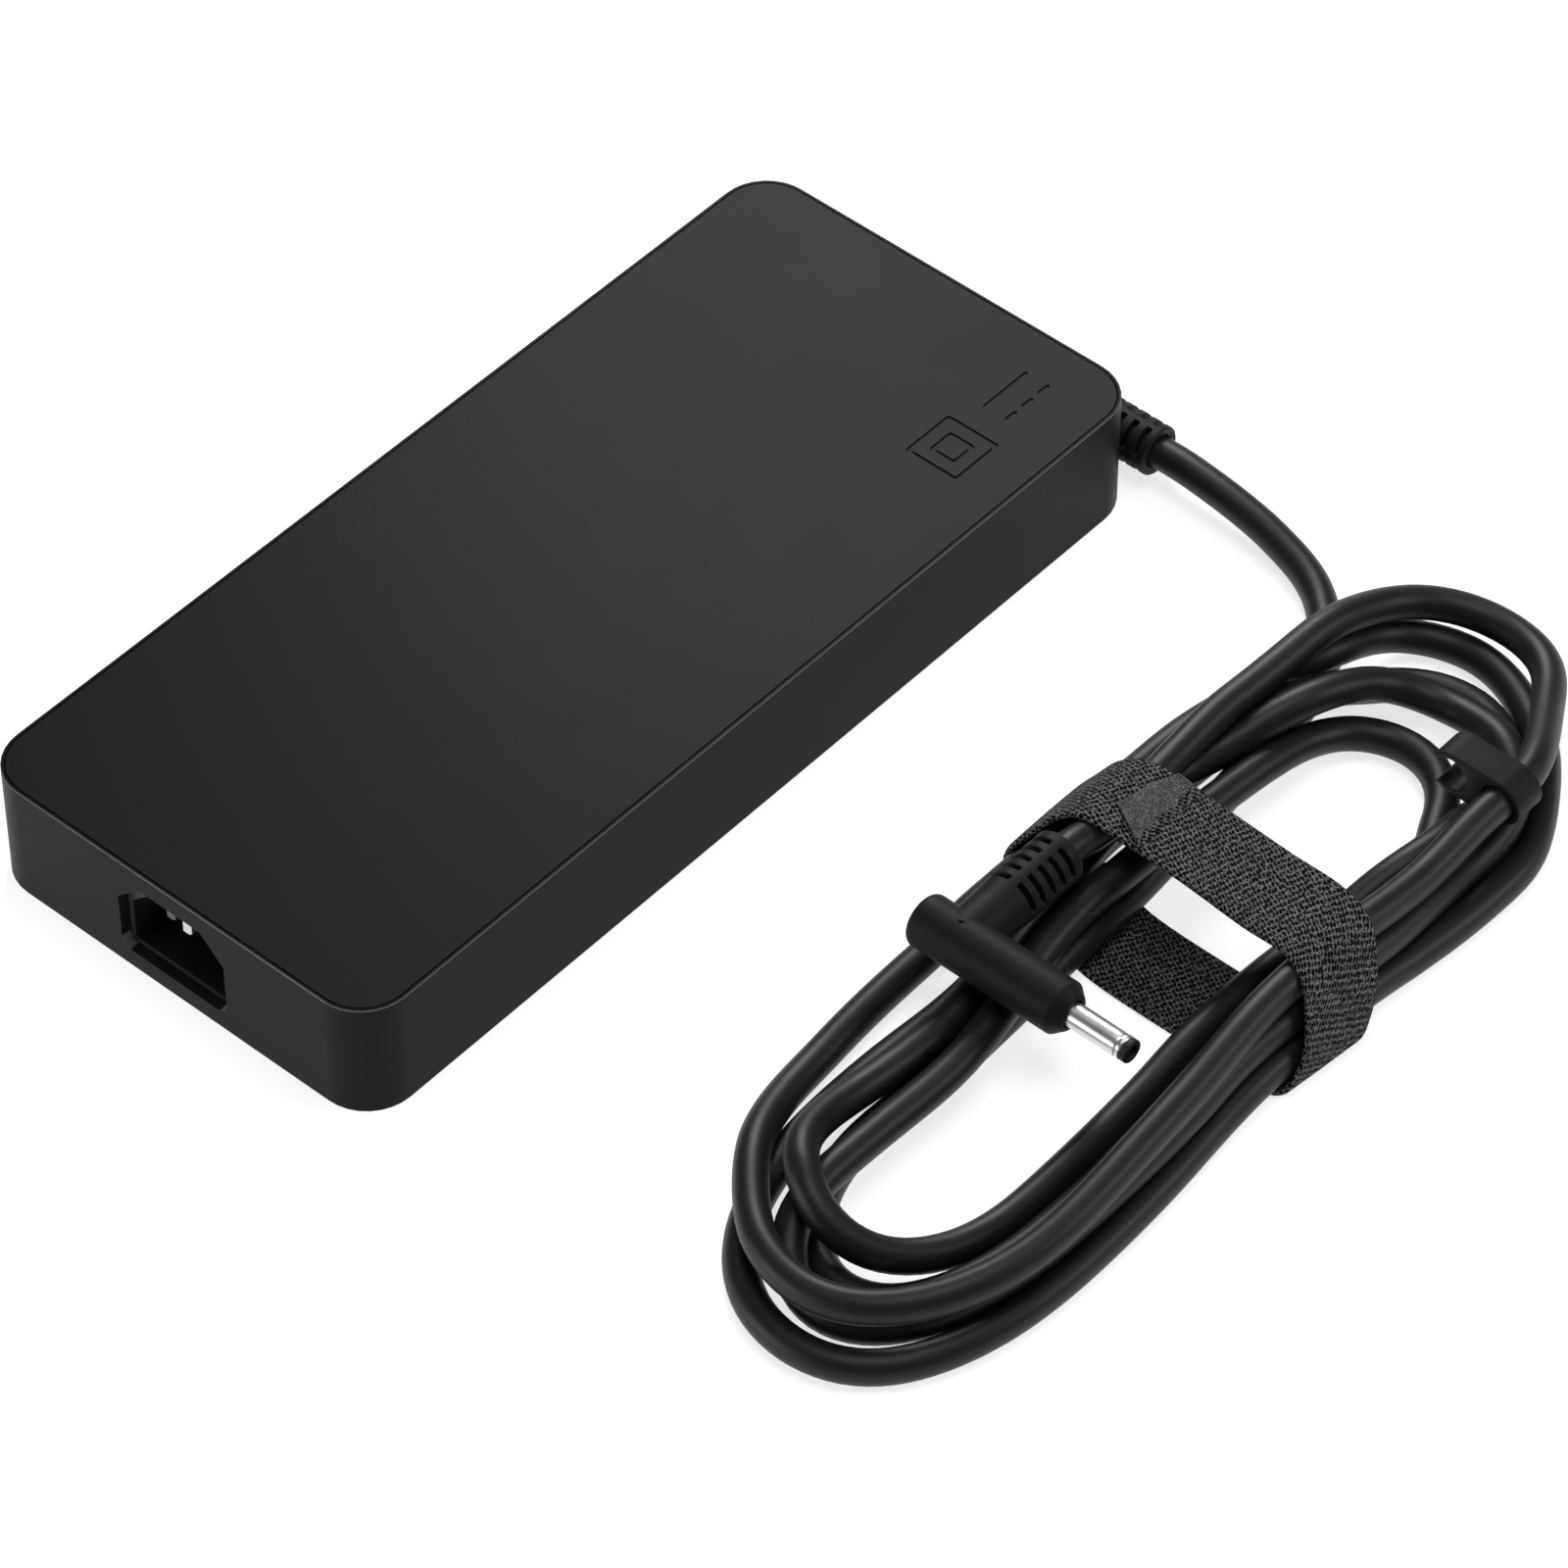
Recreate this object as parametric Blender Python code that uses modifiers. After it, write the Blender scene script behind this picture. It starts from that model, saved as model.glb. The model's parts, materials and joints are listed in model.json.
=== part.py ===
"""Slim mains power adapter with its output cord, hook-and-loop strap, cable clip and plug.

Units are metres and +Z is up.  The origin is the centre of the housing's underside.
The housing's long side runs along Y: the mains inlet is in the end at -Y, and the output
cord leaves the end at +Y, beside the corner at +X.  The cord lies wound beside the
housing at +X, in a hank whose long side runs along Y.
"""
import math

import bmesh
import bpy
from mathutils import Matrix, Vector

MM = 0.001
GAP = 0.3 * MM                      # clearance between neighbouring pieces

# housing
HOUSING_WIDTH = 90 * MM             # along X
HOUSING_LENGTH = 200 * MM           # along Y
HOUSING_HEIGHT = 25 * MM
CORNER_RADIUS = 9.6 * MM            # upright corners, seen from above
EDGE_FILLET = 0.45 * MM
BASE_FILLET = 1.0 * MM
WALL = 2.0 * MM
FLOOR = 1.8 * MM
RIM = 0.6 * MM                      # lip of the shell that stays visible round the cover
COVER = 1.8 * MM                    # thickness of the top cover
COVER_LIP = 1.0 * MM                # locating rib under the cover
COVER_LIP_DEPTH = 2.0 * MM
CORNER_STEPS = 8

# mains inlet
INLET_HALF_WIDTH = 12.25 * MM
INLET_BOTTOM = 4.0 * MM
INLET_TOP = 21.0 * MM
INLET_CHAMFER = (5.2 * MM, 5.0 * MM)
INLET_CORNER = 2.3 * MM
INLET_SETBACK = 1.85 * MM           # the socket's own lip behind the housing's face
SOCKET_WALL = 1.5 * MM
SOCKET_DEPTH = 16.0 * MM
SOCKET_LENGTH = 19.0 * MM
PIN_SPACING = 7.0 * MM
PIN_THICKNESS = 2.0 * MM
PIN_HEIGHT = 4.0 * MM
MAINS_PIN_Z = 10.6 * MM
EARTH_PIN_Z = 14.5 * MM
MAINS_PIN_TIP = 6.4 * MM            # depth of the tips behind the housing's face
EARTH_PIN_TIP = 3.5 * MM

# symbols sunk in the cover
SYMBOL_STROKE = 0.9 * MM
SYMBOL_DEPTH = 0.3 * MM
SYMBOL_X = 29.0 * MM
SYMBOL_SIZE = 12.0 * MM
SQUARES_Y = 66.5 * MM
DIRECT_CURRENT_Y = 84.0 * MM

# label under the housing
LABEL_WIDTH = 56 * MM
LABEL_LENGTH = 92 * MM
LABEL_THICKNESS = 0.2 * MM

# output cord and its right-angled strain relief
CORD_DIAMETER = 6.2 * MM
CORD_RADIUS = CORD_DIAMETER / 2
RELIEF_X = 20.0 * MM                # where the relief leaves the end wall
RELIEF_Y = 105.2 * MM               # axis of its long arm
RELIEF_Z = 6.2 * MM
RELIEF_TIP_X = 45.2 * MM
RELIEF_RADIUS = 4.8 * MM
RELIEF_ROOT_RADIUS = 5.0 * MM
SLOT_PITCH = 2.9 * MM
SLOT_WIDTH = 1.4 * MM
SLOT_FLOOR = 3.4 * MM               # distance of a slot's floor from the axis

# hank of cord
HANK_MIDDLE_X = 121.75 * MM
HANK_HALF_WIDTH = 34.75 * MM
HANK_LOW_Y = -93.3 * MM
HANK_HIGH_Y = 102.0 * MM
HANK_HOLE_HALF_WIDTH = 8.6 * MM
HANK_HOLE_LOW_Y = -64.0 * MM
HANK_HOLE_HIGH_Y = 76.0 * MM
HANK_TOP = 12.0 * MM
HANK_SHOULDER = 6.4 * MM            # bevel along the hank's outer top edge
HANK_END_TOP = 9.6 * MM             # lower top where the clip hangs over it
HANK_END_Y = 57.0 * MM

# last turn of the cord, on top of the hank
LAST_TURN_Z = HANK_TOP + GAP + CORD_RADIUS
LAST_TURN_START = Vector((149.6, -29.5, 15.4)) * MM

# plug
PLUG_Z = 17.5 * MM
PLUG_Y = -16.2 * MM
PLUG_LEFT = 92.6 * MM
PLUG_RIGHT = 125.4 * MM
PLUG_RADIUS = 5.0 * MM
SLEEVE_X = 101.1 * MM
SLEEVE_END_Y = 9.9 * MM
SLEEVE_RADIUS = 5.2 * MM
SLEEVE_CORE = 3.7 * MM
SLEEVE_WEB = 3.0 * MM
SLEEVE_GROOVES = 5
SLEEVE_PITCH = 2.65 * MM
SLEEVE_GROOVE = 1.1 * MM
BARREL_LENGTH = 12.4 * MM
BARREL_RADIUS = 2.25 * MM
BARREL_BORE = 1.95 * MM

# hook-and-loop strap
STRAP_WIDTH = 18.0 * MM
STRAP_THICKNESS = 1.0 * MM
STRAP_SKEW = 0.72                   # sideways shift along Y for each unit of height
STRAP_LOW_Y = 12.0 * MM             # middle of the run that lies on the table
STRAP_TOP = 20.6 * MM
TAB_HINGE_X = 111.6 * MM
TAB_TIP_X = 102.6 * MM
TAB_Y = 25.6 * MM
TAB_THICKNESS = 0.8 * MM
TAB_WIDTH = 17.4 * MM

# cable clip, turning on the last turn of the cord
CLIP_X = 147.6 * MM
CLIP_Y = 72.8 * MM
CLIP_Z = 15.1 * MM
CLIP_LENGTH = 6.6 * MM
CLIP_RADIUS = 4.6 * MM
CLIP_SPACING = 9.9 * MM
CLIP_BORE = CORD_RADIUS + GAP
CLIP_JAW_BORE = 3.3 * MM
CLIP_MOUTH = (148.0, 229.0)         # degrees, the open side of the jaw

# circuit board and what stands on it
BOARD_WIDTH = 84 * MM
BOARD_LENGTH = 160 * MM
BOARD_Y = 12 * MM
BOARD_BOTTOM = 4.6 * MM
BOARD_THICKNESS = 1.6 * MM
DECK = BOARD_BOTTOM + BOARD_THICKNESS + GAP
SCREW_X = 38 * MM
SCREW_Y = 77 * MM
BOSS_RADIUS = 3.0 * MM
SCREW_RADIUS = 1.2 * MM
SCREW_HOLE = 1.6 * MM


# ---------------------------------------------------------------- scene and materials

def clear_scene():
    for item in list(bpy.data.objects):
        bpy.data.objects.remove(item, do_unlink=True)


def make_collection(name):
    group = bpy.data.collections.new(name)
    bpy.context.scene.collection.children.link(group)
    return group


def make_material(name, colour, roughness, metallic=0.0):
    made = bpy.data.materials.new(name)
    made.use_nodes = True
    shader = made.node_tree.nodes["Principled BSDF"]
    shader.inputs["Base Color"].default_value = (*colour, 1.0)
    shader.inputs["Roughness"].default_value = roughness
    shader.inputs["Metallic"].default_value = metallic
    made.diffuse_color = (*colour, 1.0)
    return made


clear_scene()
PARTS = make_collection("laptop_power_adapter")
CUTTERS = make_collection("cutters")
FINISHES = {
    "housing": ((0.030, 0.031, 0.033), 0.55, 0.0),
    "label": ((0.62, 0.63, 0.64), 0.45, 0.0),
    "socket": ((0.008, 0.008, 0.009), 0.45, 0.0),
    "nickel": ((0.78, 0.77, 0.74), 0.25, 1.0),
    "cord": ((0.020, 0.020, 0.022), 0.40, 0.0),
    "moulding": ((0.016, 0.016, 0.017), 0.38, 0.0),
    "strap": ((0.050, 0.052, 0.056), 0.95, 0.0),
    "board": ((0.020, 0.110, 0.045), 0.50, 0.0),
    "film": ((0.75, 0.70, 0.50), 0.35, 0.0),
    "ferrite": ((0.045, 0.043, 0.042), 0.70, 0.0),
    "copper": ((0.72, 0.33, 0.15), 0.35, 1.0),
    "tape": ((0.75, 0.55, 0.10), 0.50, 0.0),
    "aluminium": ((0.70, 0.71, 0.72), 0.40, 1.0),
    "component": ((0.025, 0.025, 0.027), 0.50, 0.0),
    "capacitor": ((0.030, 0.035, 0.090), 0.35, 0.0),
    "box_capacitor": ((0.70, 0.52, 0.10), 0.45, 0.0),
    "disc": ((0.03, 0.16, 0.42), 0.45, 0.0),
    "pad": ((0.45, 0.52, 0.58), 0.85, 0.0),
    "glass": ((0.60, 0.62, 0.60), 0.15, 0.0),
    "red_wire": ((0.45, 0.02, 0.02), 0.50, 0.0),
    "green_wire": ((0.05, 0.30, 0.08), 0.50, 0.0),
    "steel": ((0.55, 0.55, 0.56), 0.35, 1.0),
}
MATERIALS = {name: make_material(name, *finish) for name, finish in FINISHES.items()}


def paint(item, finish):
    item.data.materials.clear()
    item.data.materials.append(MATERIALS[finish])
    item.data.shade_smooth()
    item.data.set_sharp_from_angle(angle=math.radians(32))
    return item


# ---------------------------------------------------------------- building blocks

def to_object(shape, name, place, group):
    mesh = bpy.data.meshes.new(name)
    shape.to_mesh(mesh)
    shape.free()
    item = bpy.data.objects.new(name, mesh)
    item.location = place
    group.objects.link(item)
    if group is CUTTERS:
        item.hide_render = True
        item.display_type = "WIRE"
    return item


def box(name, size, place, group=PARTS):
    shape = bmesh.new()
    bmesh.ops.create_cube(shape, size=1.0)
    bmesh.ops.scale(shape, vec=size, verts=shape.verts)
    return to_object(shape, name, place, group)


AXIS_TURN = {
    "X": Matrix.Rotation(math.radians(90), 4, "Y"),
    "Y": Matrix.Rotation(math.radians(-90), 4, "X"),
    "Z": Matrix.Identity(4),
}


def cylinder(name, radius, length, place, axis="Z", sides=24, tip_radius=None, group=PARTS):
    shape = bmesh.new()
    end = radius if tip_radius is None else tip_radius
    bmesh.ops.create_cone(shape, cap_ends=True, segments=sides, radius1=radius, radius2=end,
                          depth=length, matrix=AXIS_TURN[axis])
    return to_object(shape, name, place, group)


def turned(name, profile, place, axis="Z", steps=32, group=PARTS):
    """A profile of (radius, height) points, listed from top to bottom, turned about its axis."""
    shape = bmesh.new()
    points = [shape.verts.new((radius, 0, height)) for radius, height in profile]
    for upper, lower in zip(points, points[1:]):
        shape.edges.new((upper, lower))
    item = to_object(shape, name, place, group)
    item.rotation_euler = AXIS_TURN[axis].to_euler()
    screw = item.modifiers.new("turn", "SCREW")
    screw.steps = steps
    screw.render_steps = steps
    screw.use_merge_vertices = True
    screw.merge_threshold = 0.00001
    screw.use_normal_calculate = False
    return item


def ring_profile(inner, outer, height):
    """A closed profile of a plain ring."""
    half = height / 2
    return [(inner, half), (outer, half), (outer, -half), (inner, -half), (inner, half)]


def welded_mesh(source, name, group):
    """Turn a curve object into a mesh object with its caps welded."""
    graph = bpy.context.evaluated_depsgraph_get()
    mesh = bpy.data.meshes.new_from_object(source.evaluated_get(graph))
    shape = bmesh.new()
    shape.from_mesh(mesh)
    bmesh.ops.remove_doubles(shape, verts=shape.verts, dist=0.000005)
    place = source.matrix_world.copy()
    bpy.data.objects.remove(source, do_unlink=True)
    item = to_object(shape, name, (0, 0, 0), group)
    item.matrix_world = place
    return item


def outline_solid(name, loops, thickness, place, plane="XY", group=PARTS, shoulder=0.0):
    """A flat outline, with holes where a loop lies inside another, given a thickness.

    A shoulder widens the solid by its own amount below the outline's rounded edge.
    """
    curve = bpy.data.curves.new(name + "_outline", "CURVE")
    curve.dimensions = "2D"
    curve.fill_mode = "BOTH"
    curve.extrude = thickness / 2 - shoulder
    curve.bevel_depth = shoulder
    curve.bevel_resolution = 1
    for loop in loops:
        spline = curve.splines.new("POLY")
        spline.points.add(len(loop) - 1)
        for point, (u, v) in zip(spline.points, loop):
            point.co = (u, v, 0, 1)
        spline.use_cyclic_u = True
    source = bpy.data.objects.new(name + "_outline", curve)
    source.location = place
    if plane == "XZ":
        source.rotation_euler = (math.radians(90), 0, 0)
    bpy.context.scene.collection.objects.link(source)
    bpy.context.view_layer.update()
    return welded_mesh(source, name, group)


def tube(name, points, radius, resolution=3, group=PARTS):
    curve = bpy.data.curves.new(name + "_route", "CURVE")
    curve.dimensions = "3D"
    curve.bevel_depth = radius
    curve.bevel_resolution = resolution
    curve.use_fill_caps = True
    spline = curve.splines.new("POLY")
    spline.points.add(len(points) - 1)
    for point, place in zip(spline.points, points):
        point.co = (*place, 1)
    source = bpy.data.objects.new(name + "_route", curve)
    bpy.context.scene.collection.objects.link(source)
    bpy.context.view_layer.update()
    return welded_mesh(source, name, group)


def smooth_route(anchors, spacing):
    """Points about `spacing` apart on a Catmull-Rom curve through the anchors."""
    anchors = [Vector(anchor) for anchor in anchors]
    first = anchors[0] * 2 - anchors[1]
    last = anchors[-1] * 2 - anchors[-2]
    ends = [first] + anchors + [last]
    points = []
    for before, start, stop, after in zip(ends, ends[1:], ends[2:], ends[3:]):
        count = max(1, round((stop - start).length / spacing))
        for step in range(count):
            t = step / count
            points.append(0.5 * (2 * start + (stop - before) * t
                                 + (2 * before - 5 * start + 4 * stop - after) * t ** 2
                                 + (3 * start - before - 3 * stop + after) * t ** 3))
    points.append(anchors[-1])
    return points


def arc(centre, radius, start, stop, steps):
    """Points on an arc from `start` to `stop` degrees."""
    angles = [math.radians(start + (stop - start) * i / steps) for i in range(steps + 1)]
    return [(centre[0] + radius * math.cos(a), centre[1] + radius * math.sin(a)) for a in angles]


def rounded_rectangle(width, length, radius, steps=CORNER_STEPS):
    x = width / 2 - radius
    y = length / 2 - radius
    loop = []
    for quarter, (cx, cy) in enumerate([(x, y), (-x, y), (-x, -y), (x, -y)]):
        loop += arc((cx, cy), radius, 90 * quarter, 90 * quarter + 90, steps)
    return loop


def stadium(half_width, low, high, steps=14):
    """A long outline with round ends, its middle line at u = 0."""
    upper = arc((0, high - half_width), half_width, 0, 180, steps)
    lower = arc((0, low + half_width), half_width, 180, 360, steps)
    return upper + lower


def combine(item, other, operation):
    step = item.modifiers.new(operation.lower(), "BOOLEAN")
    step.operation = operation
    step.object = other
    step.solver = "EXACT"


def cut(item, *cutters):
    for cutter in cutters:
        combine(item, cutter, "DIFFERENCE")


def add(item, *pieces):
    for piece in pieces:
        combine(item, piece, "UNION")


def bevel(item, width, segments=2, angle=40):
    step = item.modifiers.new("bevel", "BEVEL")
    step.width = width
    step.segments = segments
    step.limit_method = "ANGLE"
    step.angle_limit = math.radians(angle)
    return item


# ---------------------------------------------------------------- housing

def inlet_outline(inset):
    """The inlet's opening: two upper corners cut off and two lower corners round."""
    half = INLET_HALF_WIDTH - inset
    low = INLET_BOTTOM + inset
    high = INLET_TOP - inset
    across, down = INLET_CHAMFER
    radius = INLET_CORNER - inset
    right = [(half, high - down), (half - across, high)]
    left = [(across - half, high), (-half, high - down)]
    lower_left = arc((radius - half, low + radius), radius, 180, 270, 4)
    lower_right = arc((half - radius, low + radius), radius, 270, 360, 4)
    return right + left + lower_left + lower_right


def screw_places():
    return [(side * SCREW_X, BOARD_Y + end * SCREW_Y) for end in (-1, 1) for side in (-1, 1)]


def bottom_shell():
    outer = rounded_rectangle(HOUSING_WIDTH, HOUSING_LENGTH, CORNER_RADIUS)
    middle = HOUSING_HEIGHT / 2
    shell = outline_solid("bottom_shell", [outer], HOUSING_HEIGHT, (0, 0, middle))
    bevel(shell, EDGE_FILLET, 2)

    cavity_height = HOUSING_HEIGHT - FLOOR + GAP
    inner = rounded_rectangle(HOUSING_WIDTH - 2 * WALL, HOUSING_LENGTH - 2 * WALL, CORNER_RADIUS - WALL)
    cavity = outline_solid("cavity_cut", [inner], cavity_height, (0, 0, FLOOR + cavity_height / 2),
                           group=CUTTERS)
    rebate_depth = COVER + GAP
    ledge = rounded_rectangle(HOUSING_WIDTH - 2 * RIM, HOUSING_LENGTH - 2 * RIM, CORNER_RADIUS - RIM)
    rebate = outline_solid("rebate_cut", [ledge], 2 * rebate_depth, (0, 0, HOUSING_HEIGHT),
                           group=CUTTERS)
    mouth = outline_solid("inlet_cut", [inlet_outline(0)], 4 * WALL, (0, -HOUSING_LENGTH / 2, 0),
                          plane="XZ", group=CUTTERS)
    cord_hole = cylinder("cord_hole_cut", RELIEF_ROOT_RADIUS + GAP, 4 * WALL,
                         (RELIEF_X, HOUSING_LENGTH / 2, RELIEF_Z), "Y", 32, group=CUTTERS)
    label_bed = box("label_cut", (LABEL_WIDTH + 2 * GAP, LABEL_LENGTH + 2 * GAP, 1.2 * MM),
                    (0, 0, 0), CUTTERS)
    cut(shell, cavity, rebate, mouth, cord_hole, label_bed)

    boss_height = BOARD_BOTTOM - GAP - FLOOR + 0.4 * MM
    for number, (x, y) in enumerate(screw_places()):
        boss = cylinder(f"boss_{number}", BOSS_RADIUS, boss_height,
                        (x, y, BOARD_BOTTOM - GAP - boss_height / 2), sides=16, group=CUTTERS)
        hole = cylinder(f"boss_hole_{number}", SCREW_HOLE, boss_height,
                        (x, y, FLOOR + boss_height / 2), sides=12, group=CUTTERS)
        add(shell, boss)
        cut(shell, hole)
    return paint(shell, "housing")


def symbol_cutters():
    """Two generic marks: nested squares for double insulation, and the direct current sign."""
    depth = 2 * SYMBOL_DEPTH
    cutters = []
    for number, size in enumerate((SYMBOL_SIZE, SYMBOL_SIZE / 2)):
        outer = rounded_rectangle(size, size, 0.8 * MM, 3)
        inside = size - 2 * SYMBOL_STROKE
        inner = rounded_rectangle(inside, inside, 0.3 * MM, 3)
        cutters.append(outline_solid(f"square_cut_{number}", [outer, inner], depth,
                                     (SYMBOL_X, SQUARES_Y, HOUSING_HEIGHT), group=CUTTERS))
    bar = rounded_rectangle(SYMBOL_STROKE, SYMBOL_SIZE, SYMBOL_STROKE * 0.49, 3)
    cutters.append(outline_solid("bar_cut", [bar], depth,
                                 (SYMBOL_X - 2.5 * MM, DIRECT_CURRENT_Y, HOUSING_HEIGHT), group=CUTTERS))
    dash_length = SYMBOL_SIZE / 4
    dash = rounded_rectangle(SYMBOL_STROKE, dash_length, SYMBOL_STROKE * 0.49, 3)
    for number in (-1, 0, 1):
        y = DIRECT_CURRENT_Y + number * (SYMBOL_SIZE - dash_length) / 2
        cutters.append(outline_solid(f"dash_cut_{number + 1}", [dash], depth,
                                     (SYMBOL_X + 2.5 * MM, y, HOUSING_HEIGHT), group=CUTTERS))
    return cutters


def top_cover():
    inset = RIM + GAP
    outer = rounded_rectangle(HOUSING_WIDTH - 2 * inset, HOUSING_LENGTH - 2 * inset, CORNER_RADIUS - inset)
    cover = outline_solid("top_cover", [outer], COVER, (0, 0, HOUSING_HEIGHT - COVER / 2))
    rib_inset = WALL + GAP
    rib_outer = rounded_rectangle(HOUSING_WIDTH - 2 * rib_inset, HOUSING_LENGTH - 2 * rib_inset,
                                  CORNER_RADIUS - rib_inset)
    hole_inset = rib_inset + COVER_LIP
    rib_inner = rounded_rectangle(HOUSING_WIDTH - 2 * hole_inset, HOUSING_LENGTH - 2 * hole_inset,
                                  CORNER_RADIUS - hole_inset)
    overlap = COVER / 2
    rib = outline_solid("cover_rib", [rib_outer, rib_inner], COVER_LIP_DEPTH + overlap,
                        (0, 0, HOUSING_HEIGHT - COVER + (overlap - COVER_LIP_DEPTH) / 2),
                        group=CUTTERS)
    inlet_gap = box("cover_rib_cut", (2 * (INLET_HALF_WIDTH + 2 * SOCKET_WALL), 6 * WALL, 2 * COVER_LIP_DEPTH),
                    (0, -HOUSING_LENGTH / 2 + WALL, HOUSING_HEIGHT - COVER - COVER_LIP_DEPTH), CUTTERS)
    add(cover, rib)
    cut(cover, inlet_gap, *symbol_cutters())
    return paint(cover, "housing")


def rating_label():
    label = box("rating_label", (LABEL_WIDTH, LABEL_LENGTH, LABEL_THICKNESS), (0, 0, 0.2 * MM))
    return paint(label, "label")


# ---------------------------------------------------------------- mains inlet

def inlet_body():
    front = -HOUSING_LENGTH / 2 + INLET_SETBACK
    outer = inlet_outline(GAP)
    body = outline_solid("inlet_body", [outer], SOCKET_LENGTH, (0, front + SOCKET_LENGTH / 2, 0),
                         plane="XZ")
    cavity = outline_solid("socket_cut", [inlet_outline(SOCKET_WALL)], 2 * SOCKET_DEPTH,
                           (0, front, 0), plane="XZ", group=CUTTERS)
    cut(body, cavity)
    for name, x, z, tip in pin_places():
        cut(body, box(name + "_slot", (PIN_THICKNESS + 2 * GAP, 8 * SOCKET_WALL, PIN_HEIGHT + 2 * GAP),
                      (x, front + SOCKET_LENGTH, z), CUTTERS))
    return paint(body, "socket")


def pin_places():
    return [("line_pin", PIN_SPACING, MAINS_PIN_Z, MAINS_PIN_TIP),
            ("neutral_pin", -PIN_SPACING, MAINS_PIN_Z, MAINS_PIN_TIP),
            ("earth_pin", 0, EARTH_PIN_Z, EARTH_PIN_TIP)]


def contact_pin(name, x, z, tip):
    """A flat blade with its tip bevelled and its tail behind the socket."""
    front = -HOUSING_LENGTH / 2 + tip
    back = -HOUSING_LENGTH / 2 + INLET_SETBACK + SOCKET_LENGTH + 2.6 * MM
    blade = box(name, (PIN_THICKNESS, back - front, PIN_HEIGHT), (x, (front + back) / 2, z))
    bevel(blade, 0.35 * MM, 1)
    return paint(blade, "nickel")


# ---------------------------------------------------------------- strain relief and cord

def strain_relief():
    """A right-angled sleeve: it leaves the end wall along +Y and turns to run along +X."""
    bend = RELIEF_Y - HOUSING_LENGTH / 2
    wall_inside = HOUSING_LENGTH / 2 - WALL - 1.2 * MM
    corner = (RELIEF_X + bend, HOUSING_LENGTH / 2)
    elbow = [(x, y, RELIEF_Z) for x, y in arc(corner, bend, 180, 90, 8)]
    route = [(RELIEF_X, wall_inside, RELIEF_Z)] + elbow + [(RELIEF_TIP_X - 1.2 * MM, RELIEF_Y, RELIEF_Z)]
    relief = tube("strain_relief", [Vector(point) for point in route], RELIEF_RADIUS, 5)
    flange = cylinder("relief_flange", RELIEF_RADIUS + 0.15 * MM, 1.6 * MM,
                      (RELIEF_TIP_X - 0.8 * MM, RELIEF_Y, RELIEF_Z), "X", 24, group=CUTTERS)
    add(relief, flange)
    reach = 2 * (RELIEF_RADIUS - SLOT_FLOOR)
    distance = SLOT_FLOOR + reach / 2
    first = RELIEF_TIP_X - 3.4 * MM
    for number in range(8):
        x = first - number * SLOT_PITCH / 2
        lean = 45 if number % 2 == 0 else 135
        for side in (0, 180):
            angle = math.radians(lean + side)
            place = (x, RELIEF_Y - distance * math.cos(angle), RELIEF_Z + distance * math.sin(angle))
            slot = box(f"relief_slot_{number}_{side}", (SLOT_WIDTH, reach, 5.4 * MM), place, CUTTERS)
            slot.rotation_euler = (-angle, 0, 0)
            cut(relief, slot)
    return paint(relief, "moulding")


# Both routes are in millimetres, along the cord's middle line.
LEAD_ROUTE = [
    (45.5, 105.2, 6.2), (51, 105.2, 6.2), (56, 104.9, 6.0), (61, 104.6, 5.7), (66, 104.2, 5.2),
    (71, 103.6, 4.7), (75.5, 102.7, 4.1), (79.5, 101.7, 3.7), (83.5, 100.2, 3.4), (87, 98.2, 3.2),
    (90, 95.8, 3.15), (92.9, 92.8, 3.15), (95.2, 90.5, 3.15)]

LAST_TURN_ROUTE = [
    tuple(LAST_TURN_START / MM), (149.3, -15, 15.4), (148.7, 0, 15.4), (148, 20, 15.4),
    (147.8, 40, 15.4), (147.6, 58, 15.3), (147.6, 68, 15.1), (147.6, 77, 15.1), (146.2, 82, 15),
    (143.6, 87, 14.6), (139.5, 94, 13.7), (134.5, 100.6, 12.4), (129, 104.8, 11.2), (121.5, 106.9, 10.6),
    (114, 106.2, 10.6), (108.5, 103.2, 11.2), (104.2, 98.5, 12.2), (101.3, 92, 13.4), (99.7, 84, 14.6),
    (99, 74, 15.4), (99, 60, 15.4), (99.6, 45, 15.4), (100.6, 32, 15.4), (101.1, 22, 15.5),
    (101.1, 17, 16.2), (101.1, 13.4, 17.4), (101.1, 10.35, 17.5)]


def in_metres(points):
    return [Vector(point) * MM for point in points]


def output_cord():
    route = smooth_route(in_metres(LEAD_ROUTE), 3 * CORD_DIAMETER)
    return paint(tube("output_cord", route, CORD_RADIUS, 3), "cord")


def last_turn():
    route = smooth_route(in_metres(LAST_TURN_ROUTE), 3 * CORD_DIAMETER)
    return paint(tube("output_cord_end", route, CORD_RADIUS, 3), "cord")


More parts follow.
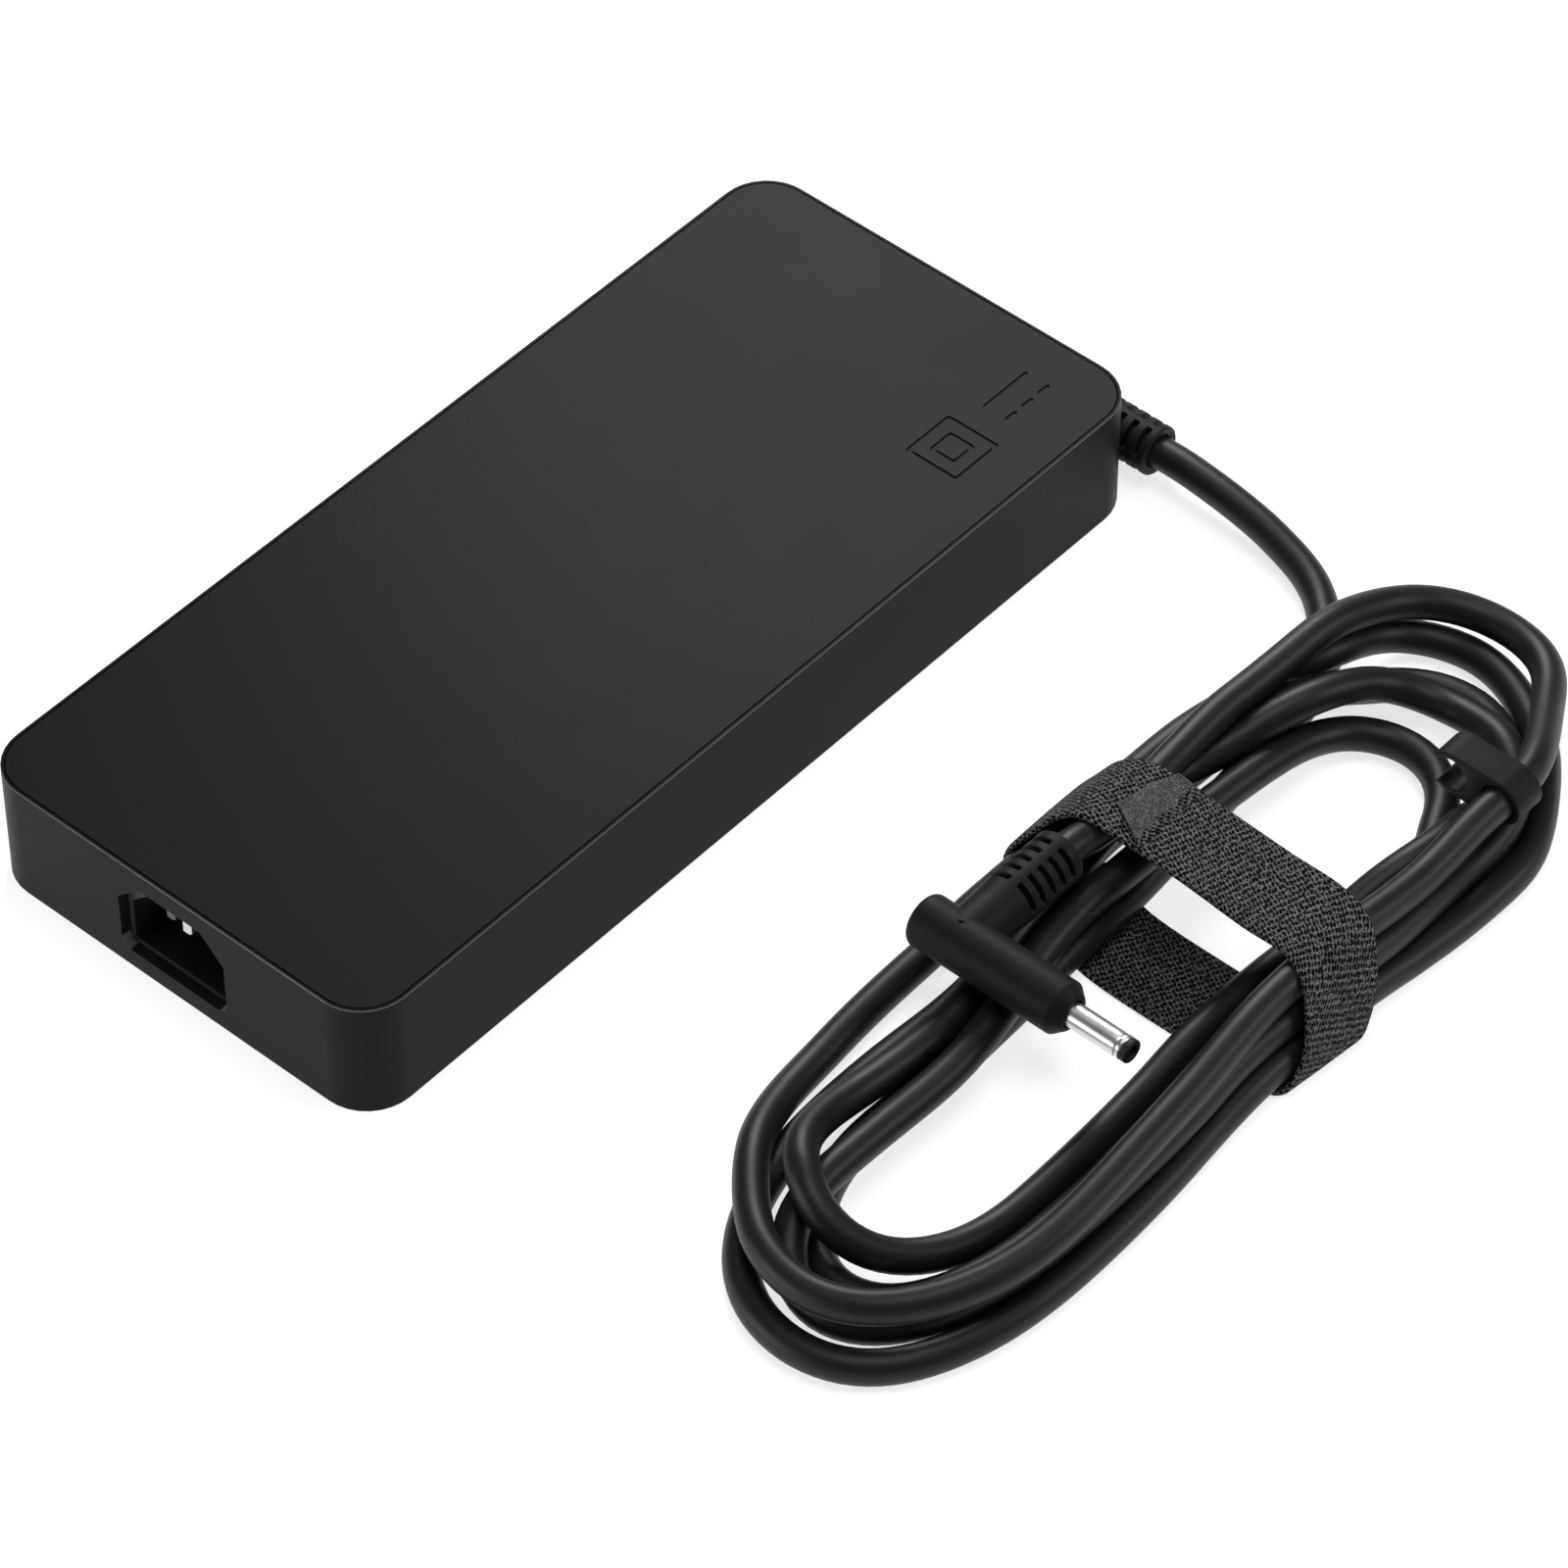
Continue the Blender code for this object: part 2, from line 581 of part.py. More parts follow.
def cord_hank():
    """The wound turns as one solid: a long ring with round ends and shoulders along its top."""
    flat = stadium(HANK_HALF_WIDTH - HANK_SHOULDER, HANK_LOW_Y + HANK_SHOULDER, HANK_HIGH_Y - HANK_SHOULDER)
    hank = outline_solid("cord_hank", [flat], 2 * HANK_TOP, (HANK_MIDDLE_X, 0, 0), shoulder=HANK_SHOULDER)
    hole = stadium(HANK_HOLE_HALF_WIDTH, HANK_HOLE_LOW_Y, HANK_HOLE_HIGH_Y, 8)
    under = box("under_table_cut", (4 * HANK_HALF_WIDTH, 3 * HOUSING_LENGTH, 2 * HANK_TOP),
                (HANK_MIDDLE_X, 0, -HANK_TOP), CUTTERS)
    middle = outline_solid("hank_hole_cut", [hole], 4 * HANK_TOP, (HANK_MIDDLE_X, 0, 0), group=CUTTERS)
    end_length = HANK_HIGH_Y - HANK_END_Y + CORD_DIAMETER
    low_end = box("hank_end_cut", (3 * HANK_HALF_WIDTH, end_length, HANK_TOP),
                  (HANK_MIDDLE_X, HANK_END_Y + end_length / 2, HANK_END_TOP + HANK_TOP / 2), CUTTERS)
    strap_bed = box("strap_bed_cut", (3 * HANK_HALF_WIDTH, STRAP_WIDTH + 4 * GAP, 2 * (STRAP_THICKNESS + GAP)),
                    (HANK_MIDDLE_X, STRAP_LOW_Y + 0.4 * MM, 0), CUTTERS)
    step_top = LAST_TURN_Z + CORD_RADIUS
    step_length = 26 * MM
    step = box("hank_step", (9 * MM, step_length, step_top - HANK_TOP / 2),
               (LAST_TURN_START.x, LAST_TURN_START.y - GAP - step_length / 2, (step_top + HANK_TOP / 2) / 2),
               CUTTERS)
    cut(hank, under, middle, low_end, strap_bed)
    add(hank, step)
    return paint(hank, "cord")


# ---------------------------------------------------------------- plug

def plug_body():
    length = PLUG_RIGHT - PLUG_LEFT
    half = length / 2
    dome = arc((PLUG_RADIUS - 2.4 * MM, half - 2.0 * MM), 2.2 * MM, 90, 10, 4)
    profile = [(0, half + 0.2 * MM)] + [(radius, height) for radius, height in dome]
    profile += [(PLUG_RADIUS, half - 4.0 * MM), (PLUG_RADIUS, -half + 2.0 * MM),
                (PLUG_RADIUS - 1.6 * MM, -half), (0, -half)]
    body = turned("plug_body", profile, ((PLUG_LEFT + PLUG_RIGHT) / 2, PLUG_Y, PLUG_Z), "X", 28)
    body.rotation_euler = (0, math.radians(-90), 0)

    length = SLEEVE_END_Y - PLUG_Y
    first = 2.2 * MM
    sleeve = [(0, length), (SLEEVE_RADIUS - 0.4 * MM, length), (SLEEVE_RADIUS, length - 0.4 * MM)]
    for number in range(SLEEVE_GROOVES):
        high = length - first - number * SLEEVE_PITCH
        low = high - SLEEVE_GROOVE
        sleeve += [(SLEEVE_RADIUS, high), (SLEEVE_CORE, high), (SLEEVE_CORE, low), (SLEEVE_RADIUS, low)]
    sleeve += [(SLEEVE_RADIUS - 0.2 * MM, 0), (0, 0)]
    branch = turned("plug_sleeve", sleeve, (SLEEVE_X, PLUG_Y, PLUG_Z), "Y", 28, CUTTERS)
    ribbed = SLEEVE_GROOVES * SLEEVE_PITCH
    web = cylinder("sleeve_web", SLEEVE_RADIUS, ribbed, (SLEEVE_X, SLEEVE_END_Y - first - ribbed / 2, PLUG_Z),
                   "Y", 28, group=CUTTERS)
    slab = box("sleeve_web_cut", (SLEEVE_WEB, 2 * ribbed, 3 * SLEEVE_RADIUS),
               (SLEEVE_X, SLEEVE_END_Y - ribbed, PLUG_Z), CUTTERS)
    combine(web, slab, "INTERSECT")
    add(body, branch, web)
    return paint(body, "moulding")


def plug_metal():
    start = PLUG_RIGHT + GAP
    middle = (start + BARREL_LENGTH / 2, PLUG_Y, PLUG_Z)
    barrel = turned("plug_barrel", ring_profile(BARREL_BORE, BARREL_RADIUS, BARREL_LENGTH), middle, "X", 24)
    paint(barrel, "nickel")
    liner_outer = BARREL_BORE - 0.2 * MM
    liner = turned("plug_insulator", ring_profile(1.3 * MM, liner_outer, BARREL_LENGTH - 0.4 * MM), middle,
                   "X", 20)
    paint(liner, "socket")
    pin_length = BARREL_LENGTH - 2.5 * MM
    pin = cylinder("plug_centre_pin", 0.4 * MM, pin_length, (start + pin_length / 2, PLUG_Y, PLUG_Z), "X", 12)
    paint(pin, "nickel")


# ---------------------------------------------------------------- strap and clip

def strap_path():
    """Middle line of the strap round both sides of the hank, in the XZ plane."""
    top = STRAP_TOP - STRAP_THICKNESS / 2
    low = STRAP_THICKNESS / 2
    left = 85.9 * MM
    right = 157.6 * MM
    return [(left + 1.2 * MM, low), (left, low + 1.2 * MM), (left, 7.5 * MM), (94.5 * MM, 18.6 * MM),
            (97.5 * MM, top), (147.5 * MM, top), (151.4 * MM, 18.2 * MM), (right - 1.6 * MM, 11 * MM),
            (right, 7.5 * MM), (right, low + 1.2 * MM), (right - 1.2 * MM, low)]


def strap():
    curve = bpy.data.curves.new("strap_ribbon", "CURVE")
    curve.dimensions = "2D"
    curve.fill_mode = "NONE"
    curve.extrude = STRAP_WIDTH / 2
    spline = curve.splines.new("POLY")
    path = strap_path()
    spline.points.add(len(path) - 1)
    for point, (x, z) in zip(spline.points, path):
        point.co = (x, z, 0, 1)
    spline.use_cyclic_u = True
    source = bpy.data.objects.new("strap_ribbon", curve)
    source.rotation_euler = (math.radians(90), 0, 0)
    source.location = (0, STRAP_LOW_Y, 0)
    bpy.context.scene.collection.objects.link(source)
    bpy.context.view_layer.update()
    band = welded_mesh(source, "hook_and_loop_strap", PARTS)
    band.data.transform(band.matrix_world)
    band.matrix_world = Matrix.Identity(4)
    skew = Matrix.Identity(4)
    skew[1][2] = STRAP_SKEW
    band.data.transform(skew)
    thick = band.modifiers.new("thickness", "SOLIDIFY")
    thick.thickness = STRAP_THICKNESS
    thick.offset = 0.0
    thick.use_even_offset = True
    return paint(band, "strap")


def strap_tab():
    """The strap's free end, which peels up about its inner edge."""
    half = TAB_WIDTH / 2
    reach = TAB_HINGE_X - TAB_TIP_X
    loop = [(-GAP, -half), (-GAP, half), (-0.55 * reach, half), (-0.92 * reach, 0.2 * half),
            (-reach, -0.2 * half), (-0.3 * reach, -half)]
    bottom = STRAP_TOP + GAP
    tab = outline_solid("strap_tab", [loop], TAB_THICKNESS,
                        (TAB_HINGE_X, TAB_Y, bottom + TAB_THICKNESS / 2))
    return paint(tab, "strap")


def cable_clip():
    """A ring closed round the cord, with an open jaw beside it for a second strand."""
    right = arc((0, 0), CLIP_RADIUS, -90, 90, 10)
    jaw = (-CLIP_SPACING, 0)
    upper, lower = CLIP_MOUTH
    outside_upper = arc(jaw, CLIP_RADIUS, 90, upper, 4)
    inside = arc(jaw, CLIP_JAW_BORE, upper, lower - 360, 14)
    outside_lower = arc(jaw, CLIP_RADIUS, lower, 270, 4)
    outer = right + outside_upper + inside + outside_lower
    bore = arc((0, 0), CLIP_BORE, 0, 345, 23)
    clip = outline_solid("cable_clip", [outer, bore], CLIP_LENGTH, (CLIP_X, CLIP_Y, CLIP_Z), plane="XZ")
    return paint(clip, "moulding")


# ---------------------------------------------------------------- electronics

def standing_box(name, size, x, y, finish, z=DECK):
    item = box(name, size, (x, y, z + size[2] / 2))
    return paint(item, finish)


def wound_core(name, x, y, width, length, finish="tape", height=8.0 * MM):
    """A ferrite frame with two windows, and the winding round its middle leg."""
    build = 2.6 * MM
    centre_z = DECK + build + GAP + height / 2
    limb = 0.14 * width
    leg = 0.24 * width
    window = (width - 2 * limb - leg) / 2
    tall = length - 2 * limb
    middle = (leg + window) / 2
    windows = []
    for side in (-1, 1):
        loop = rounded_rectangle(window, tall, 0.3 * MM, 1)
        windows.append([(u + side * middle, v) for u, v in loop])
    frame = [rounded_rectangle(width, length, 0.8 * MM, 2)] + windows
    core = outline_solid(name + "_core", frame, height, (x, y, centre_z))
    paint(core, "ferrite")
    inner = rounded_rectangle(leg + 2 * GAP, height + 2 * GAP, 0.2 * MM, 1)
    outer = rounded_rectangle(leg + 2 * (window - GAP), height + 2 * (GAP + build), 1.4 * MM, 3)
    winding = outline_solid(name + "_winding", [outer, inner], tall - 2 * GAP, (x, y, centre_z), plane="XZ")
    paint(winding, finish)


def can_capacitor(name, radius, length, place, axis="Z"):
    """An aluminium can with the pressed groove of its seal near one end."""
    half = length / 2
    profile = [(0, half), (radius - 0.5 * MM, half), (radius, half - 0.5 * MM), (radius, -half + 2.4 * MM),
               (radius - 0.6 * MM, -half + 1.9 * MM), (radius, -half + 1.4 * MM), (radius, -half + 0.4 * MM),
               (radius - 0.4 * MM, -half), (0, -half)]
    return paint(turned(name, profile, place, axis, 24), "capacitor")


def circuit_board():
    board = box("main_board", (BOARD_WIDTH, BOARD_LENGTH, BOARD_THICKNESS),
                (0, BOARD_Y, BOARD_BOTTOM + BOARD_THICKNESS / 2))
    for number, (x, y) in enumerate(screw_places()):
        cut(board, cylinder(f"board_hole_{number}", SCREW_HOLE, 4 * BOARD_THICKNESS, (x, y, BOARD_BOTTOM),
                            sides=12, group=CUTTERS))
    paint(board, "board")
    for number, (x, y) in enumerate(screw_places()):
        head = BOARD_BOTTOM + BOARD_THICKNESS + GAP
        profile = [(0, 1.3 * MM), (2.2 * MM, 1.3 * MM), (2.5 * MM, 0.9 * MM), (2.5 * MM, 0),
                   (SCREW_RADIUS, 0), (SCREW_RADIUS, FLOOR + GAP - head), (0, FLOOR + GAP - head)]
        paint(turned(f"board_screw_{number + 1}", profile, (x, y, head), steps=16), "steel")


def insulation_film():
    hole = SCREW_X - BOSS_RADIUS - 2 * GAP
    film = box("insulation_film", (2 * hole, BOARD_LENGTH - 6 * MM, 0.4 * MM), (0, BOARD_Y, 3.2 * MM))
    return paint(film, "film")


def power_parts():
    standing_box("x_capacitor", (18 * MM, 9 * MM, 13 * MM), -26 * MM, -58 * MM, "box_capacitor")
    varistor = cylinder("varistor", 5.5 * MM, 4 * MM, (-8 * MM, -58 * MM, DECK + 5.8 * MM), "Y", 20)
    paint(bevel(varistor, 0.6 * MM, 1), "disc")
    thermistor = cylinder("inrush_thermistor", 5.0 * MM, 4 * MM, (6 * MM, -58 * MM, DECK + 5.3 * MM), "Y", 20)
    paint(bevel(thermistor, 0.6 * MM, 1), "component")
    paint(cylinder("fuse", 2.6 * MM, 11 * MM, (24 * MM, -58 * MM, DECK + 2.9 * MM), "X", 16), "glass")
    wound_core("input_choke", -24 * MM, -38 * MM, 22 * MM, 20 * MM, "copper")
    standing_box("bridge_rectifier", (20 * MM, 4 * MM, 13 * MM), 8 * MM, -47 * MM, "component")
    for number, x in enumerate((22 * MM, 32 * MM)):
        disc = cylinder(f"y_capacitor_{number + 1}", 3.6 * MM, 3.4 * MM, (x, -46 * MM, DECK + 3.8 * MM), "Y", 16)
        paint(bevel(disc, 0.5 * MM, 1), "disc")
    wound_core("boost_inductor", 10 * MM, -29 * MM, 26 * MM, 24 * MM, "copper")
    for number, y in enumerate((-16 * MM, 2 * MM)):
        can_capacitor(f"bulk_capacitor_{number + 1}", 7.4 * MM, 32 * MM,
                      (-21 * MM, y, DECK + 7.6 * MM), "X")
    wound_core("main_transformer", -12 * MM, 32 * MM, 34 * MM, 30 * MM)
    wound_core("output_choke", -22 * MM, 66 * MM, 20 * MM, 18 * MM, "copper")
    for number, x in enumerate((-4 * MM, 6 * MM, 16 * MM)):
        can_capacitor(f"output_capacitor_{number + 1}", 4.0 * MM, 13 * MM, (x, 66 * MM, DECK + 6.7 * MM))


def cooling():
    """Aluminium plates along both side walls, with the power devices pressed against them."""
    height = 15 * MM
    thickness = 1.2 * MM
    length = 120 * MM
    plate_x = 40.4 * MM
    for name, side in (("left", -1), ("right", 1)):
        standing_box("heat_spreader_" + name, (thickness, length, height), side * plate_x, 8 * MM, "aluminium",
                     DECK + 0.2 * MM)
        standing_box("thermal_pad_" + name, (1.0 * MM, length - 20 * MM, height - 4 * MM),
                     side * (plate_x + 1.5 * MM), 8 * MM, "pad", DECK + 2 * MM)
    device_x = plate_x - thickness / 2 - GAP - 2.3 * MM
    for name, y in (("boost_transistor", -30), ("boost_diode", -14), ("bridge_transistor_1", 10),
                    ("bridge_transistor_2", 26)):
        standing_box(name, (4.6 * MM, 10 * MM, 13 * MM), device_x, y * MM, "component")
    standing_box("control_board", (1.2 * MM, 30 * MM, 13 * MM), 24 * MM, 28 * MM, "board")


def mains_leads():
    """An insulated lead from each pin's tail down to the board."""
    for (pin, x, z, tip), finish in zip(pin_places(), ("red_wire", "socket", "green_wire")):
        x = x / MM
        z = z / MM
        top = DECK / MM
        route = in_metres([(x, -76.2, z), (x, -73, z), (x, -70, (z + top + 2) / 2 + 1), (x, -67, top + 2.6),
                           (x, -64.6, top + 1.6)])
        lead = tube(pin.replace("_pin", "_lead"), smooth_route(route, 3 * MM), 1.2 * MM, 2)
        paint(lead, finish)


def output_leads():
    """Two insulated leads from the board to the strain relief."""
    for name, offset, finish in (("positive_lead", 1.6, "red_wire"), ("negative_lead", -1.6, "socket")):
        x = RELIEF_X / MM + offset
        start = DECK / MM + 1.2
        route = in_metres([(x, 76, start), (x, 80, start + 1.6), (x, 86, start + 2), (x, 90.5, start + 0.6),
                           (x, 93.6, RELIEF_Z / MM), (x, 96.2, RELIEF_Z / MM)])
        paint(tube(name, smooth_route(route, 3 * MM), 1.1 * MM, 2), finish)


bottom_shell()
top_cover()
rating_label()
inlet_body()
for pin_name, pin_x, pin_z, pin_tip in pin_places():
    contact_pin(pin_name, pin_x, pin_z, pin_tip)
strain_relief()
output_cord()
last_turn()
cord_hank()
plug_body()
plug_metal()
strap()
strap_tab()
cable_clip()
circuit_board()
insulation_film()
power_parts()
cooling()
mains_leads()
output_leads()
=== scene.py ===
"""Looks of the slim mains power adapter: the wound cord, strap, plug, clip and every finish.

Lengths in the tables are millimetres and are multiplied by MM where they are used.
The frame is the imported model's: the origin is the centre of the housing's underside,
+Z is up, the mains inlet faces -Y and the cord lies wound at +X.
"""

import json
import math

import bmesh
import bpy
import numpy as np
from mathutils import Matrix, Vector

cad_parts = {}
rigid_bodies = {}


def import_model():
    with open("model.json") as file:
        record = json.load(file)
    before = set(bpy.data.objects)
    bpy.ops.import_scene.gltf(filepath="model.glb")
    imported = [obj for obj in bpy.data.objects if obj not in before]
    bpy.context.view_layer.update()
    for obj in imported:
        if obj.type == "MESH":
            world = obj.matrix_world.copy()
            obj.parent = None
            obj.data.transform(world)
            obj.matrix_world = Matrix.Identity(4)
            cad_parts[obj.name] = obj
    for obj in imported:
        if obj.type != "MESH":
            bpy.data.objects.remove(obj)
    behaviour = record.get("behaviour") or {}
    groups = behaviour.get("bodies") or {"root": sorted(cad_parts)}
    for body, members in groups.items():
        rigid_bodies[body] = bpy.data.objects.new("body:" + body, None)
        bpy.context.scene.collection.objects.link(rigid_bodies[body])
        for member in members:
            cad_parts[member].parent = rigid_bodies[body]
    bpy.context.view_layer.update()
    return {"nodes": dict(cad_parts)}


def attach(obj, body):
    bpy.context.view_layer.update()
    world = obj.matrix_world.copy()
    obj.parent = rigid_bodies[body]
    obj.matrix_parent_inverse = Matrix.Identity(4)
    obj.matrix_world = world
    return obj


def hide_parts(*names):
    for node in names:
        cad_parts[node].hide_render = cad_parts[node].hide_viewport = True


for leftover in list(bpy.data.objects):
    bpy.data.objects.remove(leftover)

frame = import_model()

MM = 0.001
UP = Vector((0, 0, 1))
ALONG_X = (1, 0, 0)
CREASE_ANGLE = 35                   # degrees; edges sharper than this stay sharp
FLOOR_DROP = 0.05                   # keeps the floor clear of the faces that rest on it

# housing
HOUSING_END_Y = 100
HOUSING = (0.0125, 0.0125, 0.013)   # colour of the plain plastic
PAINTED_EDGE_HIGHLIGHT = (0.15, 0.15, 0.155)     # colour of the painted highlight on its rounded top edge

# cord
CORD_DIAMETER = 6.2
CORD_RADIUS = CORD_DIAMETER / 2
CORD_SPACING = 2.0                  # distance between the settled points
CORD_SIDES = 11                     # bevel resolution of the round section
BEND_STEPS = 8                      # points worked out for each half of a hank's bend
TIGHTEST_BEND = 15.0                # radius that the settling eases bends towards
SETTLE_ROUNDS = 500
CLIP_CENTRE = (147.6, 72.8, 15.1)
HELD_LENGTH = 14.0                  # stretch at each end that keeps its place
LEAD_HELD = 80.0                    # stretch after the relief that stays close to its place

# strap
STRAP_THICKNESS = 1.1
STRAP_GAP = 0.15                    # between the strap on the table and the cords over it
STRAP_DARK = (0.0015, 0.0015, 0.0015)
STRAP_LIGHT = (0.28, 0.28, 0.285)
STRAP_CELL = (1.1, 0.78)            # length and width of one hole of the mesh
STRAP_SLANT = 28                    # degrees between the holes and the strap
STRAP_CROWN = 0.12                  # how far its middle stands out from its edges
STRAP_STEPS = 9                     # rows of faces between two of the edge points
STRAP_LEFT_X = 84                   # no part of the strap lies left of this
STRAP_LOW = (2.4, 26.0)             # where the strap runs on the table, along Y
STRAP_RAMP = 16.0                   # the cords come down to the table again over this length

# plug
PLUG_Y = -16.2
PLUG_Z = 17.5
PLUG_LEFT = 92.6
PLUG_RIGHT = 125.4
PLUG_RADIUS = 5.0
SLEEVE_X = 101.1
SLEEVE_END_Y = 9.9
SLEEVE_RADIUS = 5.15
BARREL_RADIUS = 2.25
BARREL_LENGTH = 12.4

# strain relief
RELIEF_X = 20.0
RELIEF_Y = 105.2
RELIEF_Z = 6.2
RELIEF_TIP_X = 45.2
RELIEF_RADIUS = 5.0

# the lead-in and the tail repeat the part's own cord routes
LEAD_ROUTE = [
    (45.5, 105.2, 6.2), (51, 105.2, 6.2), (56, 104.9, 6.0), (61, 104.6, 5.7), (66, 104.2, 5.2),
    (71, 103.6, 4.7), (75.5, 102.7, 4.1), (79.5, 101.7, 3.7), (83.5, 100.2, 3.4), (87, 98.2, 3.2),
    (90, 95.8, 3.15), (92.9, 92.8, 3.15), (95.2, 90.5, 3.15)]
TAIL_ROUTE = [
    (101.2, 91.5, 13.6), (100.2, 84, 14.9), (99.4, 75, 15.5), (99, 62, 15.5), (99.2, 49, 15.4),
    (99.9, 37, 15.4), (100.6, 28, 15.4), (101.1, 21, 15.6), (101.1, 17, 16.2), (101.1, 13.4, 17.4),
    (101.1, 10.35, 17.5)]

# Each row is half a turn of the hank: the points of its straight leg, the apex of the bend that
# follows, the fullness of the bend before and after the apex, and how far it rises over others.
HANK_TURNS = [
    ([(98.6, 85, 3.1), (101, 78, 3.1), (103, 68, 3.1), (104.4, 56, 3.1), (106, 42, 3.1), (107.9, 25, 3.1),
      (108.7, 0, 3.1), (110, -30, 3.1), (109.2, -46, 3.1)], (126, -77, 3.1), (2.1, 2.2), (0, 0)),
    ([(144.5, -40, 3.1), (144.5, 0, 3.1), (144.3, 38, 3.1)], (121.5, 79.5, 3.1), (2.2, 2.2), (0, 0)),
    ([(108.2, 56, 9), (107.7, 40, 9), (107.7, 21, 9), (107.2, 8, 9), (106.9, -2, 9), (109.2, -12, 9),
      (111.8, -22, 8.8), (112.9, -35, 8.3), (112.2, -46, 8.1)], (126, -83.2, 5.4), (2.3, 2.2), (1, 0)),
    ([(149.8, -41, 8.2), (149.9, -25, 8.2), (148.8, -5, 8.2), (149.1, 14, 8.2), (149.9, 40, 8),
      (149.2, 54, 7), (147.4, 66, 5), (146, 74, 6), (143.4, 80, 9)], (123.5, 89, 6.6), (1.9, 2.0), (0, 0)),
    ([(109.7, 77.4, 12), (106, 65.5, 15), (101, 51.5, 11.5), (98.3, 43, 9.3), (98.6, 24, 9.2),
      (100.4, 11, 9.2), (103.3, -4, 9.2), (105.6, -21, 9.2), (105.1, -36, 9.2), (104.5, -47, 9.6)],
     (121.5, -73, 10.6), (2.1, 2.1), (4, 1)),
    ([(138.3, -44, 3.4), (138, -24, 3.1), (136.9, -2, 3.1), (136.7, 18, 3.1), (138, 33, 4),
      (140.3, 45, 6.5), (142.4, 54, 9), (142.9, 63, 7.5), (142.4, 72, 4)],
     (125.5, 94.8, 3.1), (1.9, 2.0), (0, 0)),
    ([(109.6, 87, 4.5), (105.4, 77, 8.6), (101.3, 66, 8.6), (98.2, 56, 5), (96.6, 44, 3.1), (97.1, 27, 3.1),
      (99.2, 8, 3.1), (101.8, -16, 3.1), (100.6, -33, 3.1), (100.6, -50, 3.1)],
     (127.5, -90.2, 3.1), (2.1, 2.5), (0, 0)),
    ([(152.3, -44, 3.1), (151.3, -22, 3.1), (149.5, -2, 3.1), (149.7, 13, 3.1), (151.1, 36, 3.1),
      (152.8, 52, 3.1), (152.9, 68, 3.1)], (119, 104.6, 3.1), (1.6, 2.0), (0, 0)),
    ([(101.6, 92, 7), (100.7, 83, 9.3), (98.6, 76.5, 8.6), (95.4, 71, 6.4), (92, 65, 4), (90.5, 53, 3.1),
      (90.5, 28, 3.1), (90.5, -16, 3.1), (91.1, -32, 3.1), (92.2, -42, 3.8)],
     (126, -85, 11.5), (1.75, 2.1), (2, 1)),
    ([(151, -49, 14.5), (150.1, -30, 14.4), (148.6, -10, 14.4), (147.4, 4, 14.1), (147.2, 15, 13.9),
      (147.7, 28, 14), (148.1, 40, 14.3), (147.7, 56, 14.8), (147.6, 66, 15.1), (147.6, 77, 15.1),
      (146.2, 82, 14.6), (143.3, 87.5, 13.7), (139.4, 94.2, 12.4), (135, 100.4, 11)],
     (119.8, 109.6, 9), (2.0, 2.0), (0, 0)),
]

# The strap's two long edges, from the table at the left over the hank to the table at the right.
STRAP_BACK = [
    (105, 23.5, 0.7), (97, 26.2, 0.7), (90, 29.2, 0.8), (87.7, 30.2, 1.5), (86.7, 30.9, 3.7),
    (87.4, 31.4, 6.4), (91.4, 32.4, 12.4), (95.2, 33.5, 17.4), (99.2, 34.7, 19.5), (107, 35.1, 19.6),
    (116, 34.9, 19.4), (130.4, 34.3, 19.2), (143, 33.8, 19.2), (149.2, 32, 18.3), (153.4, 29, 14.4),
    (155.6, 26.4, 10), (156.4, 24.2, 6.2), (156.3, 22.6, 2.8), (155, 21.6, 0.9), (151, 21.2, 0.7),
    (135, 21.2, 0.7), (112, 21.7, 0.7)]
STRAP_FRONT = [
    (105, 5.3, 0.7), (97, 8.0, 0.7), (90, 11.0, 0.8), (87.7, 12.0, 1.5), (86.7, 12.7, 3.7),
    (87.4, 13.2, 6.4), (91.2, 14.2, 12.2), (94.8, 15.3, 17.2), (98.6, 16.6, 19.6), (108, 17.2, 19.5),
    (120.3, 17, 19.4), (134.7, 15.8, 19.5), (145.4, 15, 19.85), (150.2, 13, 18.0), (152.9, 10.8, 12.6),
    (154.5, 8.6, 7.4), (154.5, 6.4, 3.8), (153.8, 4.5, 1.5), (152, 3.4, 0.8), (148, 3.1, 0.7),
    (135, 3.0, 0.7), (112, 3.5, 0.7)]
TAB_HINGE_X = 111.6
TAB_TIP_X = 102.6
TAB_Y = 25.8
TAB_HOOKS_X = 109.6                 # beyond this the tab's hooks give way to loops


# ---------------------------------------------------------------- camera, floor and lights

def camera():
    place = Vector((0.608717, -0.639745, 0.910917))
    target = Vector((0.0446, 0.0039, 0))
    data = bpy.data.cameras.new("camera")
    data.sensor_width = 36
    data.lens = 166.37
    data.clip_start = 0.05
    item = bpy.data.objects.new("camera", data)
    bpy.context.scene.collection.objects.link(item)
    item.location = place
    item.rotation_euler = (target - place).to_track_quat("-Z", "Y").to_euler()
    bpy.context.scene.camera = item


def floor():
    half = 4.0
    corners = [(-half, -half, 0), (half, -half, 0), (half, half, 0), (-half, half, 0)]
    mesh = bpy.data.meshes.new("floor")
    mesh.from_pydata(corners, [], [(0, 1, 2, 3)])
    item = bpy.data.objects.new("floor", mesh)
    bpy.context.scene.collection.objects.link(item)
    item.location.z = -FLOOR_DROP * MM
    finish = new_material("floor", (0.55, 0.55, 0.55), 0.9)
    shader = finish.node_tree.nodes["Principled BSDF"]
    shader.inputs["Emission Color"].default_value = (1, 1, 1, 1)
    shader.inputs["Emission Strength"].default_value = 0.75
    mesh.materials.append(finish)


